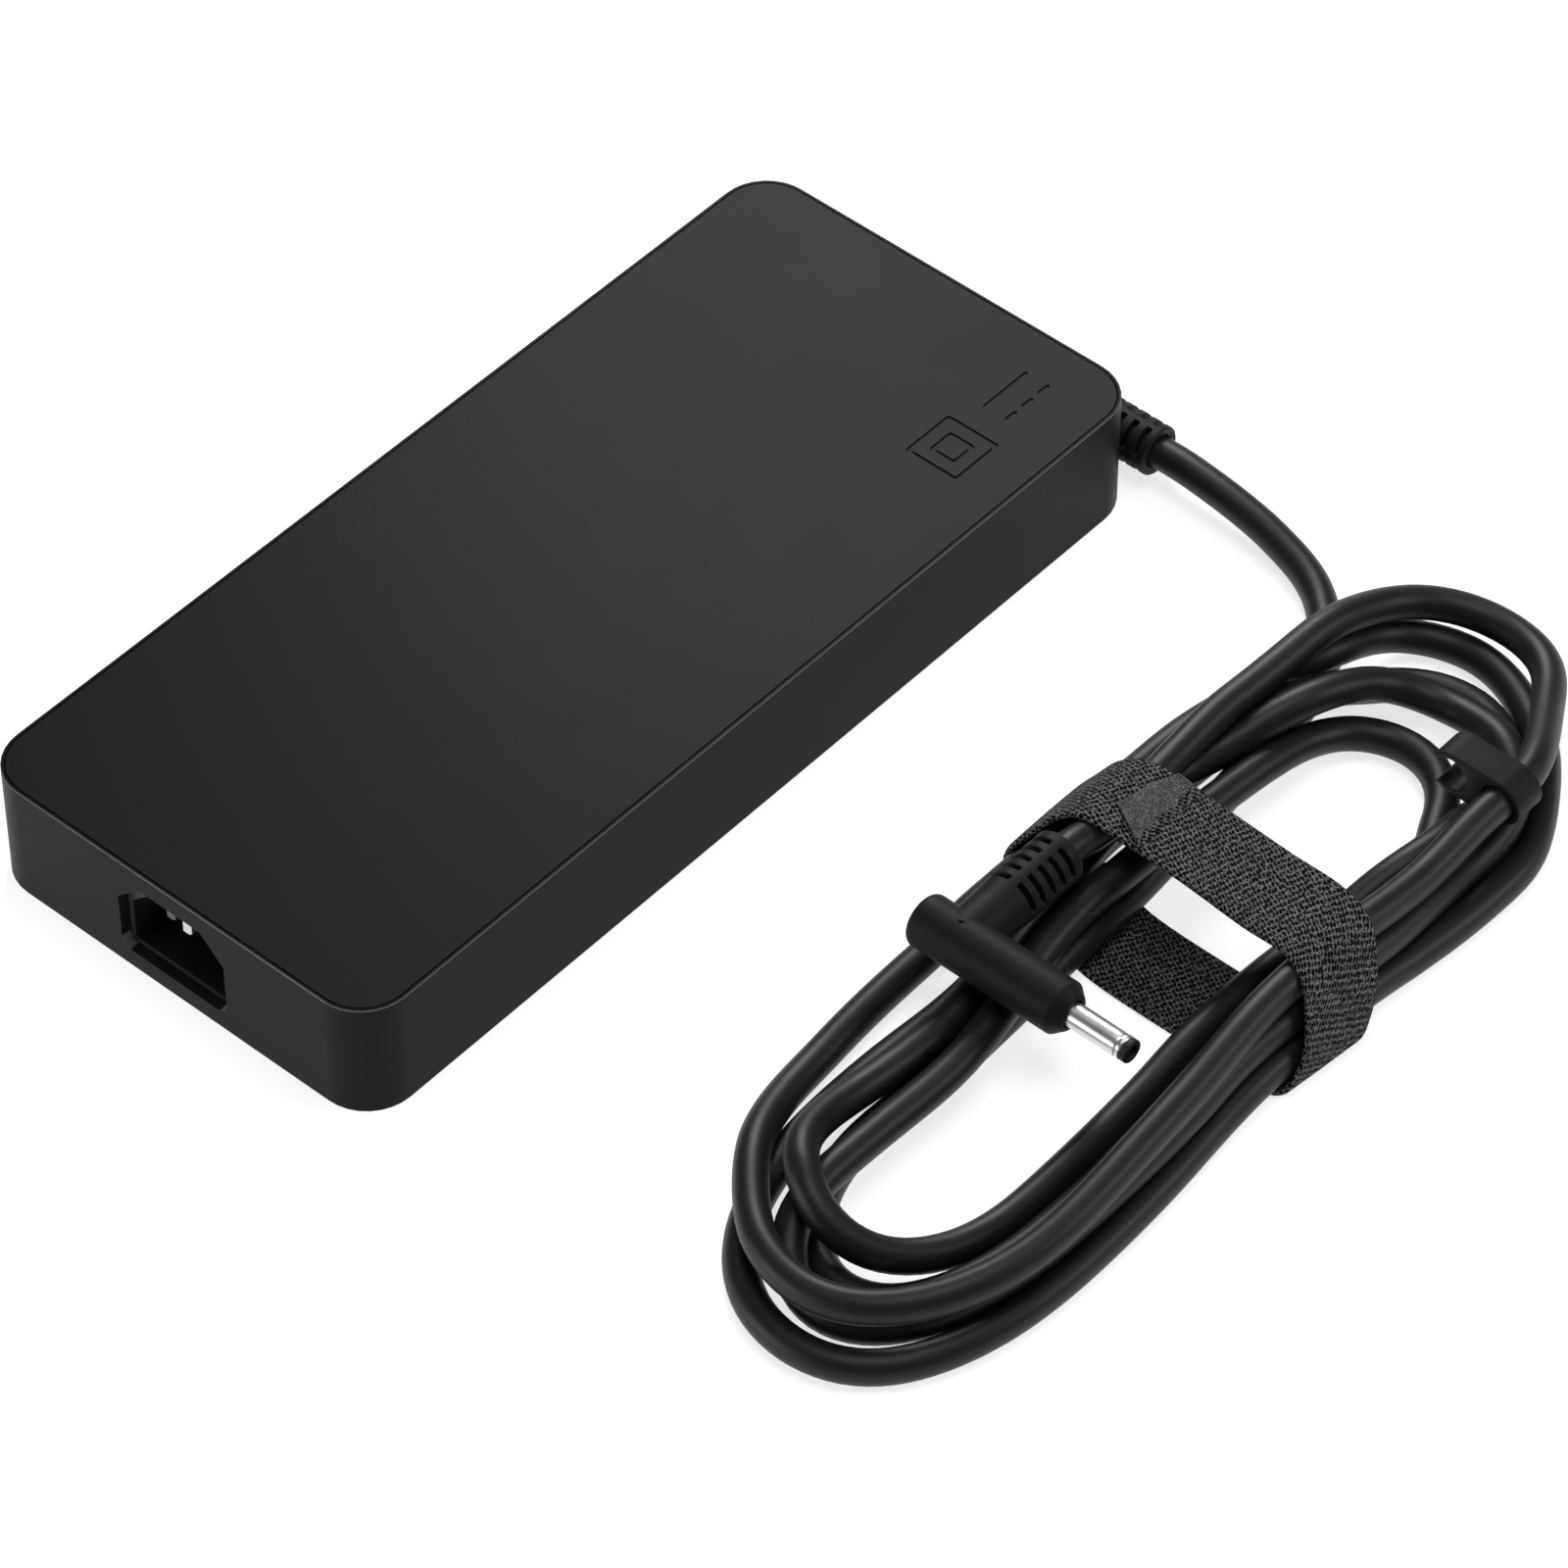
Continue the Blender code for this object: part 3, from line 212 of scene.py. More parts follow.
def area_light(name, place, target, size, power):
    data = bpy.data.lights.new(name, "AREA")
    data.shape = "RECTANGLE"
    data.size, data.size_y = size
    data.energy = power
    item = bpy.data.objects.new(name, data)
    bpy.context.scene.collection.objects.link(item)
    item.location = place
    item.rotation_euler = (Vector(target) - Vector(place)).to_track_quat("-Z", "Y").to_euler()


def lights():
    world = bpy.data.worlds.new("studio")
    world.use_nodes = True
    background = world.node_tree.nodes["Background"]
    background.inputs["Color"].default_value = (1, 1, 1, 1)
    background.inputs["Strength"].default_value = 0.1
    bpy.context.scene.world = world
    middle = (0.05, 0, 0)
    area_light("back_card", (-0.245, 0.365, 0.365), (0, 0.1, 0.02), (0.24, 0.24), 2.4)
    area_light("side_card", (0.71, 0.45, 0.45), middle, (0.35, 0.35), 2.0)
    area_light("front_card", (-0.33, -0.65, 0.16), middle, (0.5, 0.3), 2.0)
    area_light("top_card", (0.25, 0.0, 2.2), middle, (1.2, 1.2), 18)
    bpy.context.scene.view_settings.view_transform = "Standard"


# ---------------------------------------------------------------- materials

def new_material(name, colour, roughness, metallic=0.0, specular=0.5):
    finish = bpy.data.materials.new(name)
    finish.use_nodes = True
    shader = finish.node_tree.nodes["Principled BSDF"]
    shader.inputs["Base Color"].default_value = (*colour, 1)
    shader.inputs["Roughness"].default_value = roughness
    shader.inputs["Metallic"].default_value = metallic
    shader.inputs["Specular IOR Level"].default_value = specular
    return finish


class Nodes:
    """Short names for the shader nodes that the finishes share."""

    def __init__(self, finish, space="Object"):
        self.tree = finish.node_tree
        self.shader = self.tree.nodes["Principled BSDF"]
        self.place = self.tree.nodes.new("ShaderNodeTexCoord").outputs[space]

    def link(self, source, target):
        self.tree.links.new(source, target)

    def scaled(self, factors):
        node = self.tree.nodes.new("ShaderNodeMapping")
        node.inputs["Scale"].default_value = factors
        self.link(self.place, node.inputs["Vector"])
        return node.outputs["Vector"]

    def slanted(self, angle, sizes):
        """Places in a frame turned by angle degrees and counted in steps of sizes."""
        node = self.tree.nodes.new("ShaderNodeMapping")
        node.vector_type = "TEXTURE"
        node.inputs["Rotation"].default_value = (0, 0, math.radians(angle))
        node.inputs["Scale"].default_value = sizes
        self.link(self.place, node.inputs["Vector"])
        return node.outputs["Vector"]

    def noise(self, size, detail=2.0, vector=None):
        """Soft noise, about size metres from one bump to the next."""
        node = self.tree.nodes.new("ShaderNodeTexNoise")
        node.inputs["Scale"].default_value = 1 / size
        node.inputs["Detail"].default_value = detail
        self.link(vector or self.place, node.inputs["Vector"])
        return node.outputs["Fac"]

    def cells(self, size, vector=None, feature="F1", randomness=1.0):
        """Distance from the nearest cell centre, or from the nearest edge between cells."""
        node = self.tree.nodes.new("ShaderNodeTexVoronoi")
        node.feature = feature
        node.inputs["Scale"].default_value = 1 / size
        node.inputs["Randomness"].default_value = randomness
        self.link(vector or self.place, node.inputs["Vector"])
        return node.outputs["Distance"]

    def bands(self, size, direction, distortion):
        node = self.tree.nodes.new("ShaderNodeTexWave")
        node.bands_direction = direction
        node.inputs["Scale"].default_value = 0.314 / size
        node.inputs["Distortion"].default_value = distortion
        node.inputs["Detail Scale"].default_value = 3
        self.link(self.place, node.inputs["Vector"])
        return node.outputs["Fac"]

    def spread(self, value, low, high, start=0.0, stop=1.0):
        node = self.tree.nodes.new("ShaderNodeMapRange")
        node.inputs["From Min"].default_value = start
        node.inputs["From Max"].default_value = stop
        node.inputs["To Min"].default_value = low
        node.inputs["To Max"].default_value = high
        self.link(value, node.inputs["Value"])
        return node.outputs["Result"]

    def maths(self, operation, first, second):
        node = self.tree.nodes.new("ShaderNodeMath")
        node.operation = operation
        for socket, value in zip(node.inputs, (first, second)):
            if isinstance(value, (int, float)):
                socket.default_value = value
            else:
                self.link(value, socket)
        return node.outputs["Value"]

    def blend(self, value, dark, light):
        node = self.tree.nodes.new("ShaderNodeMix")
        node.data_type = "RGBA"
        node.inputs[6].default_value = (*dark, 1)
        node.inputs[7].default_value = (*light, 1)
        self.link(value, node.inputs["Factor"])
        return node.outputs[2]

    def colour(self, value, dark, light):
        self.link(self.blend(value, dark, light), self.shader.inputs["Base Color"])

    def roughness(self, value, low, high):
        self.link(self.spread(value, low, high), self.shader.inputs["Roughness"])

    def bump(self, *layers):
        """Each layer is (height value, depth in metres); they are stacked."""
        normal = None
        for height, depth in layers:
            node = self.tree.nodes.new("ShaderNodeBump")
            node.inputs["Distance"].default_value = depth
            self.link(height, node.inputs["Height"])
            if normal:
                self.link(normal, node.inputs["Normal"])
            normal = node.outputs["Normal"]
        self.link(normal, self.shader.inputs["Normal"])


def shade(colour, factor):
    return tuple(channel * factor for channel in colour)


def moulded(name, colour, roughness, grain=0.5, depth=0.02, specular=0.5):
    """Moulded plastic or rubber: fine spark-eroded grain and a slight mottling."""
    finish = new_material(name, colour, roughness, specular=specular)
    nodes = Nodes(finish)
    mottle = nodes.noise(14 * MM, 3)
    nodes.colour(nodes.spread(mottle, 0, 1, 0.3, 0.7), shade(colour, 0.95), shade(colour, 1.05))
    nodes.roughness(mottle, roughness - 0.02, roughness + 0.02)
    nodes.bump((nodes.noise(grain * MM, 2), depth * MM), (nodes.cells(grain * 2.2 * MM), depth * 0.6 * MM))
    return finish


def painted_edge_highlight(finish, colour):
    """Gives the finish one plain colour, with a painted highlight: a lighter colour on the rounded edge
    round the top face.
    """
    nodes = Nodes(finish, "Normal")
    facing = nodes.tree.nodes.new("ShaderNodeSeparateXYZ")
    nodes.link(nodes.place, facing.inputs["Vector"])
    # painted highlight: where the surface tilts from the top face towards the sides, the colour turns
    # lighter
    rising = nodes.spread(facing.outputs["Z"], 0, 1, 0.03, 0.2)
    falling = nodes.spread(facing.outputs["Z"], 1, 0, 0.96, 0.995)
    nodes.colour(nodes.maths("MULTIPLY", rising, falling), colour, PAINTED_EDGE_HIGHLIGHT)
    return finish


def polished_metal(name, colour, roughness):
    """Plated metal with faint smudges."""
    finish = new_material(name, colour, roughness, metallic=1.0)
    nodes = Nodes(finish)
    smudge = nodes.noise(5 * MM, 2)
    nodes.roughness(smudge, roughness * 0.8, roughness * 1.3)
    nodes.colour(smudge, shade(colour, 0.94), colour)
    return finish


def brushed_metal(name, colour, roughness, lines=(1, 14, 14)):
    """Metal with fine drawing lines along X."""
    finish = new_material(name, colour, roughness, metallic=1.0)
    nodes = Nodes(finish)
    streaks = nodes.noise(1.2 * MM, 3, nodes.scaled(lines))
    nodes.roughness(nodes.noise(5 * MM, 2), roughness * 0.75, roughness * 1.4)
    nodes.colour(streaks, shade(colour, 0.93), colour)
    nodes.bump((streaks, 0.006 * MM))
    return finish


def wound_wire(name, colour, pitch):
    """Enamelled wire, wound in close turns."""
    finish = new_material(name, colour, 0.28, metallic=0.85)
    nodes = Nodes(finish)
    turns = nodes.bands(pitch * MM, "DIAGONAL", 0.4)
    nodes.colour(turns, shade(colour, 0.35), colour)
    nodes.bump((turns, 0.25 * MM))
    return finish


def circuit_board_finish():
    """Solder mask with copper tracks under it and bright pads."""
    mask = (0.012, 0.075, 0.03)
    finish = new_material("board", mask, 0.35)
    nodes = Nodes(finish)
    tracks = nodes.cells(7 * MM, feature="DISTANCE_TO_EDGE")
    line = nodes.spread(tracks, 1, 0, 0.03, 0.07)
    nodes.colour(line, mask, (0.03, 0.16, 0.06))
    nodes.bump((line, 0.04 * MM), (nodes.noise(0.6 * MM), 0.01 * MM))
    return finish


def mesh_threads(nodes, cell, slant):
    """Bright threads round small dark holes; cell is a hole's (length, width) in millimetres."""
    holes = nodes.cells(1, nodes.slanted(slant, (cell[0] * MM, cell[1] * MM, 1)), randomness=0.3)
    threads = nodes.spread(holes, 0, 1, 0.33, 0.52)
    sparkle = nodes.spread(nodes.noise(0.36 * MM, 2), 0.0, 1.6, 0.4, 0.66)
    return nodes.maths("MULTIPLY", threads, sparkle)


def woven(name, dark, light, cell, slant, depth):
    """Knitted loop fabric."""
    finish = new_material(name, dark, 0.85, specular=0.05)
    nodes = Nodes(finish, "UV")
    threads = mesh_threads(nodes, cell, slant)
    nodes.colour(threads, dark, light)
    nodes.bump((threads, depth * MM))
    return finish


def hooked(name, dark, light, cell, slant, boundary):
    """The hook side: fine dense bristles that give way to loop fabric past boundary, along X."""
    finish = new_material(name, dark, 0.85, specular=0.05)
    nodes = Nodes(finish, "UV")
    bristles = nodes.spread(nodes.cells(0.3 * MM), 1.0, 0.2, 0.1, 0.6)
    wear = nodes.spread(nodes.noise(1.6 * MM, 3), 0.6, 1.2, 0.3, 0.7)
    pile = nodes.maths("MULTIPLY", bristles, wear)
    along = nodes.tree.nodes.new("ShaderNodeSeparateXYZ")
    nodes.link(nodes.place, along.inputs["Vector"])
    wander = nodes.spread(nodes.noise(2.0 * MM, 3), -2.5 * MM, 2.5 * MM)
    ragged = nodes.maths("ADD", along.outputs["X"], wander)
    share = nodes.spread(ragged, 0, 1, (boundary - 0.3) * MM, (boundary + 0.3) * MM)
    fabric = nodes.maths("MULTIPLY", mesh_threads(nodes, cell, slant), share)
    rest = nodes.maths("MULTIPLY", pile, nodes.spread(share, 1, 0))
    tone = nodes.maths("ADD", fabric, rest)
    nodes.colour(tone, dark, light)
    nodes.bump((tone, 0.2 * MM))
    return finish


def printed_label():
    """A blank rating label: plain satin film with no lettering."""
    finish = new_material("label", (0.05, 0.05, 0.052), 0.42)
    nodes = Nodes(finish)
    sheen = nodes.noise(9 * MM, 3)
    nodes.colour(sheen, (0.045, 0.045, 0.047), (0.065, 0.065, 0.068))
    nodes.roughness(sheen, 0.36, 0.5)
    nodes.bump((nodes.noise(1.1 * MM), 0.01 * MM))
    return finish


def electronics_finishes():
    """Finishes of the parts inside the housing, by material slot."""
    return {
        "film": moulded("insulation_film", (0.5, 0.42, 0.25), 0.35, 1.5, 0.02),
        "ferrite": moulded("ferrite", (0.035, 0.033, 0.035), 0.6, 0.4, 0.05),
        "tape": moulded("winding_tape", (0.55, 0.42, 0.06), 0.32, 3.0, 0.05),
        "component": moulded("component_case", (0.02, 0.02, 0.022), 0.45, 0.3, 0.02),
        "capacitor": moulded("capacitor_sleeve", (0.015, 0.02, 0.06), 0.3, 2.0, 0.01),
        "box_capacitor": moulded("box_capacitor", (0.55, 0.4, 0.05), 0.4, 0.8, 0.02),
        "disc": moulded("ceramic_disc", (0.03, 0.12, 0.4), 0.35, 1.0, 0.03),
        "pad": moulded("thermal_pad", (0.35, 0.38, 0.42), 0.7, 0.6, 0.03),
        "glass": moulded("fuse_tube", (0.6, 0.62, 0.6), 0.12, 2.0, 0.005),
        "red_wire": moulded("red_wire", (0.4, 0.015, 0.012), 0.4, 1.0, 0.01),
        "green_wire": moulded("green_wire", (0.03, 0.22, 0.04), 0.4, 1.0, 0.01),
        "copper": wound_wire("copper_winding", (0.72, 0.3, 0.12), 0.55),
        "aluminium": brushed_metal("aluminium", (0.75, 0.76, 0.78), 0.38),
        "steel": brushed_metal("steel", (0.55, 0.55, 0.56), 0.3),
        "board": circuit_board_finish(),
    }


def all_finishes():
    finishes = electronics_finishes()
    finishes.update({
        # the housing's rounded top edge carries a painted highlight
        "housing": painted_edge_highlight(moulded("housing_plastic", HOUSING, 0.42, 0.42, 0.012, 0.045), HOUSING),
        "socket": moulded("socket_plastic", (0.008, 0.008, 0.008), 0.5, 0.5, 0.01, 0.3),
        "moulding": moulded("soft_moulding", (0.0095, 0.0095, 0.01), 0.55, 0.55, 0.006, 0.14),
        "cord": moulded("cord_jacket", (0.01, 0.01, 0.0105), 0.44, 0.7, 0.004, 0.27),
        "label": printed_label(),
        "nickel": polished_metal("nickel", (0.75, 0.74, 0.72), 0.32),
        "strap": woven("strap_loops", STRAP_DARK, STRAP_LIGHT, STRAP_CELL, STRAP_SLANT, 0.2),
        "hooks": hooked("strap_hooks", STRAP_DARK, STRAP_LIGHT, STRAP_CELL, STRAP_SLANT, TAB_HOOKS_X),
    })
    return finishes


FINISH = all_finishes()


# ---------------------------------------------------------------- modelling helpers

def new_piece(name, mesh, finish, smooth_angle=CREASE_ANGLE):
    item = bpy.data.objects.new(name, mesh)
    bpy.context.scene.collection.objects.link(item)
    mesh.materials.append(finish)
    mesh.shade_smooth()
    mesh.set_sharp_from_angle(angle=math.radians(smooth_angle))
    return item


def in_metres(points):
    return [Vector(point) * MM for point in points]


def smooth_step(value):
    value = min(max(value, 0.0), 1.0)
    return value * value * (3 - 2 * value)


def plateau(distance, half_width, edge):
    """One inside half_width of the centre, falling smoothly to zero over edge."""
    return 1 - smooth_step((abs(distance) - half_width) / edge)


def spline_span(before, start, stop, after, count):
    """Points from start towards stop on a smooth curve through all four (centripetal spline)."""
    steps = (start - before, stop - start, after - stop)
    gaps = [max(math.sqrt(np.linalg.norm(step)), 1e-6) for step in steps]
    leave = gaps[1] * ((start - before) / gaps[0] - (stop - before) / (gaps[0] + gaps[1])
                       + (stop - start) / gaps[1])
    arrive = gaps[1] * ((stop - start) / gaps[1] - (after - start) / (gaps[1] + gaps[2])
                        + (after - stop) / gaps[2])
    return [(2 * t ** 3 - 3 * t ** 2 + 1) * start + (t ** 3 - 2 * t ** 2 + t) * leave
            + (3 * t ** 2 - 2 * t ** 3) * stop + (t ** 3 - t ** 2) * arrive
            for t in np.arange(count) / count]


def smooth_curve(points, spacing):
    """Evenly spaced points of a smooth curve through given ones."""
    given = np.array(points, float)
    given = np.vstack([2 * given[0] - given[1], given, 2 * given[-1] - given[-2]])
    dense = []
    for before, start, stop, after in zip(given, given[1:], given[2:], given[3:]):
        count = max(2, round(4 * np.linalg.norm(stop - start) / spacing))
        dense += spline_span(before, start, stop, after, count)
    dense.append(given[-2])
    return evenly_spaced(np.array(dense), spacing)


def smooth_loop(points, steps):
    """A closed smooth curve through given points, with the same steps between each pair."""
    given = np.array(points, float)
    ring = np.vstack([given[-1], given, given[:2]])
    loop = []
    for before, start, stop, after in zip(ring, ring[1:], ring[2:], ring[3:]):
        loop += spline_span(before, start, stop, after, steps)
    return [tuple(point) for point in loop]


def evenly_spaced(path, spacing):
    lengths = np.linalg.norm(np.diff(path, axis=0), axis=1)
    reached = np.concatenate([[0], np.cumsum(lengths)])
    places = np.linspace(0, reached[-1], round(reached[-1] / spacing) + 1)
    return np.stack([np.interp(places, reached, path[:, axis]) for axis in range(3)], axis=1)


def sculpted_tube(name, path, radius_at, around, finish):
    """A closed tube along path; radius_at(distance along it, angle round it) shapes its skin.

    The angle is 0 at the top and grows towards the path's direction x up.
    """
    path = [Vector(point) for point in path]
    builder = bmesh.new()
    rings = []
    normal = UP
    reached = 0.0
    for number, point in enumerate(path):
        ahead = path[min(number + 1, len(path) - 1)]
        behind = path[max(number - 1, 0)]
        direction = (ahead - behind).normalized()
        if number:
            reached += (point - path[number - 1]).length
        normal = (normal - direction * normal.dot(direction)).normalized()
        side = direction.cross(normal)
        ring = []
        for step in range(around):
            angle = 2 * math.pi * step / around
            outward = normal * math.cos(angle) + side * math.sin(angle)
            ring.append(builder.verts.new(point + radius_at(reached, angle) * outward))
        rings.append(ring)
    for lower, upper in zip(rings, rings[1:]):
        for step in range(around):
            after = (step + 1) % around
            builder.faces.new((lower[step], lower[after], upper[after], upper[step]))
    builder.faces.new(rings[0][::-1])
    builder.faces.new(rings[-1])
    builder.normal_update()
    mesh = bpy.data.meshes.new(name)
    builder.to_mesh(mesh)
    builder.free()
    return new_piece(name, mesh, finish)


def turned(name, profile, start, axis, finish, steps=64):
    """A turned piece: profile holds (distance along axis, radius), in millimetres from start."""
    axis = Vector(axis)
    across = axis.orthogonal().normalized()
    side = axis.cross(across)
    angles = [2 * math.pi * step / steps for step in range(steps)]
    spokes = [across * math.cos(angle) + side * math.sin(angle) for angle in angles]
    builder = bmesh.new()
    rings = []
    for along, radius in profile:
        centre = (Vector(start) + axis * along) * MM
        if radius == 0:
            rings.append([builder.verts.new(centre)])
        else:
            rings.append([builder.verts.new(centre + radius * MM * spoke) for spoke in spokes])
    for lower, upper in zip(rings, rings[1:]):
        for step in range(steps):
            after = (step + 1) % steps
            corners = [lower[step % len(lower)], lower[after % len(lower)],
                       upper[after % len(upper)], upper[step % len(upper)]]
            builder.faces.new(list(dict.fromkeys(corners)))
    bmesh.ops.recalc_face_normals(builder, faces=builder.faces)
    mesh = bpy.data.meshes.new(name)
    builder.to_mesh(mesh)
    builder.free()
    return new_piece(name, mesh, finish)


def rounded_profile(profile, radius, steps=4):
    """The profile with each inner corner replaced by a small arc-like curve."""
    points = [Vector(point) for point in profile]
    soft = [points[0]]
    for before, corner, after in zip(points, points[1:], points[2:]):
        cut_in = min(radius, (before - corner).length / 2)
        cut_out = min(radius, (after - corner).length / 2)
        first = corner + (before - corner).normalized() * cut_in
        last = corner + (after - corner).normalized() * cut_out
        for step in range(steps + 1):
            t = step / steps
            soft.append((1 - t) ** 2 * first + 2 * t * (1 - t) * corner + t ** 2 * last)
    soft.append(points[-1])
    return [tuple(point) for point in soft]


def apply_modifiers(item):
    evaluated = item.evaluated_get(bpy.context.evaluated_depsgraph_get())
    mesh = bpy.data.meshes.new_from_object(evaluated)
    item.modifiers.clear()
    item.data = mesh


def join_solid(item, *others):
    """Unites closed pieces into one closed skin."""
    for other in others:
        union = item.modifiers.new("union", "BOOLEAN")
        union.operation = "UNION"
        union.object = other
    apply_modifiers(item)
    for other in others:
        bpy.data.objects.remove(other)
    item.data.shade_smooth()
    item.data.set_sharp_from_angle(angle=math.radians(CREASE_ANGLE))


def finish_piece(item, body, slot, *nodes):
    """Puts a piece on its body, in place of the CAD nodes that it stands for."""
    if nodes:
        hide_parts(*nodes)
    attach(item, body)
    return item


# ---------------------------------------------------------------- cord

def bend_half(start, apex, fullness, rise):
    """Points of half a bend, from a leg's end to the bend's apex, both left out."""
    points = []
    for step in range(1, BEND_STEPS):
        share = step / BEND_STEPS
        angle = share * math.pi / 2
        across = 1 - math.cos(angle) ** (2 / fullness)
        along = math.sin(angle) ** (2 / fullness)
        points.append((start[0] + (apex[0] - start[0]) * across,
                       start[1] + (apex[1] - start[1]) * along,
                       start[2] + (apex[2] - start[2]) * share + rise * math.sin(math.pi * share)))
    return points


def cord_anchors():
    """The cord's given points: lead-in, legs and bends of the hank, then the tail."""
    route = list(LEAD_ROUTE)
    next_legs = [row[0] for row in HANK_TURNS[1:]] + [TAIL_ROUTE]
    for (leg, apex, fullness, rise), next_leg in zip(HANK_TURNS, next_legs):
        back = bend_half(next_leg[0], apex, fullness[1], rise[1])
        route += leg + bend_half(leg[-1], apex, fullness[0], rise[0]) + [apex] + back[::-1]
    return route + TAIL_ROUTE


def table_height(places):
    """Height of what the cord lies on: the table, or the strap on the table."""
    low, high = STRAP_LOW
    outside = np.maximum(np.maximum(low - places[:, 1], places[:, 1] - high), 0)
    outside = np.where(places[:, 0] < STRAP_LEFT_X, STRAP_RAMP, outside)
    share = np.clip(1 - outside / STRAP_RAMP, 0, 1)
    return (STRAP_THICKNESS + STRAP_GAP) * share * share * (3 - 2 * share)


def hold_weights(route):
    """How firmly each point keeps its place: both ends fully, the clip's place and the lead-in less."""
    clip_hold = 0.6
    lead_hold = 0.3
    lead_fade = 20
    reached = CORD_SPACING * np.arange(len(route))
    from_end = np.minimum(reached, reached[-1] - reached)
    ends = np.clip(1 - from_end / HELD_LENGTH, 0, 1)
    nearest = np.argmin(np.linalg.norm(route - np.array(CLIP_CENTRE), axis=1))
    clip = np.clip(1 - np.abs(reached - reached[nearest]) / HELD_LENGTH, 0, 1)
    lead = lead_hold * np.clip((LEAD_HELD - reached) / lead_fade, 0, 1)
    return np.maximum(np.maximum(ends, lead), clip_hold * clip)[:, None]


def settle(route):
    """Lets the route rest: strands pushed a diameter apart, sunk to the table, tight bends eased."""
    keep = np.array((0.02, 0.02, 0.006))    # pull towards the given route, along X, Y and Z
    sink = 0.01                             # fall in each round
    stiffness = 0.06
    stiff_steps = 10
    ease_steps = 3
    share = 0.25                            # part of each correction that is made at once
    reach = 3                               # points on each side that a bend is measured over
    search_rounds = 10                      # rounds between searches for neighbouring strands
    near = 1.5 * CORD_DIAMETER
    sagitta = (reach * CORD_SPACING) ** 2 / (2 * TIGHTEST_BEND)
    apart = int(3 * CORD_DIAMETER / CORD_SPACING)
    hold = hold_weights(route)
    place = route.copy()
    for count in range(SETTLE_ROUNDS):
        if count % search_rounds == 0:
            gaps = np.linalg.norm(place[:, None] - place[None], axis=2)
            first, second = np.nonzero(np.triu(gaps < near, apart))
        place += keep * (route - place)
        place[:, 2] -= sink
        for _ in range(stiff_steps):
            curve = np.zeros_like(place)
            curve[1:-1] = place[:-2] + place[2:] - 2 * place[1:-1]
            change = np.zeros_like(place)
            change[2:-2] = curve[1:-3] + curve[3:-1] - 2 * curve[2:-2]
            place -= stiffness * change
        for _ in range(ease_steps):
            middle = (place[:-2 * reach] + place[2 * reach:]) / 2 - place[reach:-reach]
            size = np.linalg.norm(middle, axis=1)
            excess = np.maximum(size - sagitta, 0) / np.maximum(size, 1e-9)
            ease = middle * excess[:, None] * share
            place[reach:-reach] += ease
            place[:-2 * reach] -= ease / 2
            place[2 * reach:] -= ease / 2
            offset = place[first] - place[second]
            length = np.linalg.norm(offset, axis=1)
            push = np.maximum(CORD_DIAMETER - length, 0) * share
            step = offset * (push / np.maximum(length, 1e-6))[:, None]
            move = np.zeros_like(place)
            np.add.at(move, first, step)
            np.add.at(move, second, -step)
            place += move
        place[:, 2] = np.maximum(place[:, 2], CORD_RADIUS + table_height(place))
        place += hold * (route - place)
    return place


def cord():
    """The whole output cord as one tube, its two ends just inside the relief and the sleeve."""
    route = settle(smooth_curve(cord_anchors(), CORD_SPACING))
    in_relief = (RELIEF_TIP_X - 1.0, RELIEF_Y, RELIEF_Z)
    in_sleeve = (SLEEVE_X, SLEEVE_END_Y - 0.9, PLUG_Z)
    path = [in_relief, *map(tuple, route), in_sleeve]
    curve = bpy.data.curves.new("output_lead", "CURVE")
    curve.dimensions = "3D"
    curve.bevel_depth = CORD_RADIUS * MM
    curve.bevel_resolution = CORD_SIDES
    curve.use_fill_caps = True
    spline = curve.splines.new("POLY")
    spline.points.add(len(path) - 1)
    for point, place in zip(spline.points, path):
        point.co = (*(MM * value for value in place), 1)
    spline.use_smooth = True
    item = bpy.data.objects.new("output_lead", curve)
    bpy.context.scene.collection.objects.link(item)
    curve.materials.append(FINISH["cord"])
    return finish_piece(item, "adapter", "cord", "output_cord", "output_cord_end", "cord_hank")


# ---------------------------------------------------------------- strap

def rounded_section(width, thickness, across=14, corner=4):
    """Outline of a flat band's section, as (across, up) pairs, anticlockwise from the lower left."""
    half_width = width / 2
    half = thickness / 2
    outline = []
    for step in range(across + 1):
        outline.append((-half_width + half + (width - thickness) * step / across, -half))
    for step in range(1, corner):
        angle = math.pi * step / corner - math.pi / 2
        outline.append((half_width - half + half * math.cos(angle), half * math.sin(angle)))
    for step in range(across + 1):
        outline.append((half_width - half - (width - thickness) * step / across, half))
    for step in range(1, corner):
        angle = math.pi * step / corner + math.pi / 2
        outline.append((-half_width + half + half * math.cos(angle), half * math.sin(angle)))
    return outline


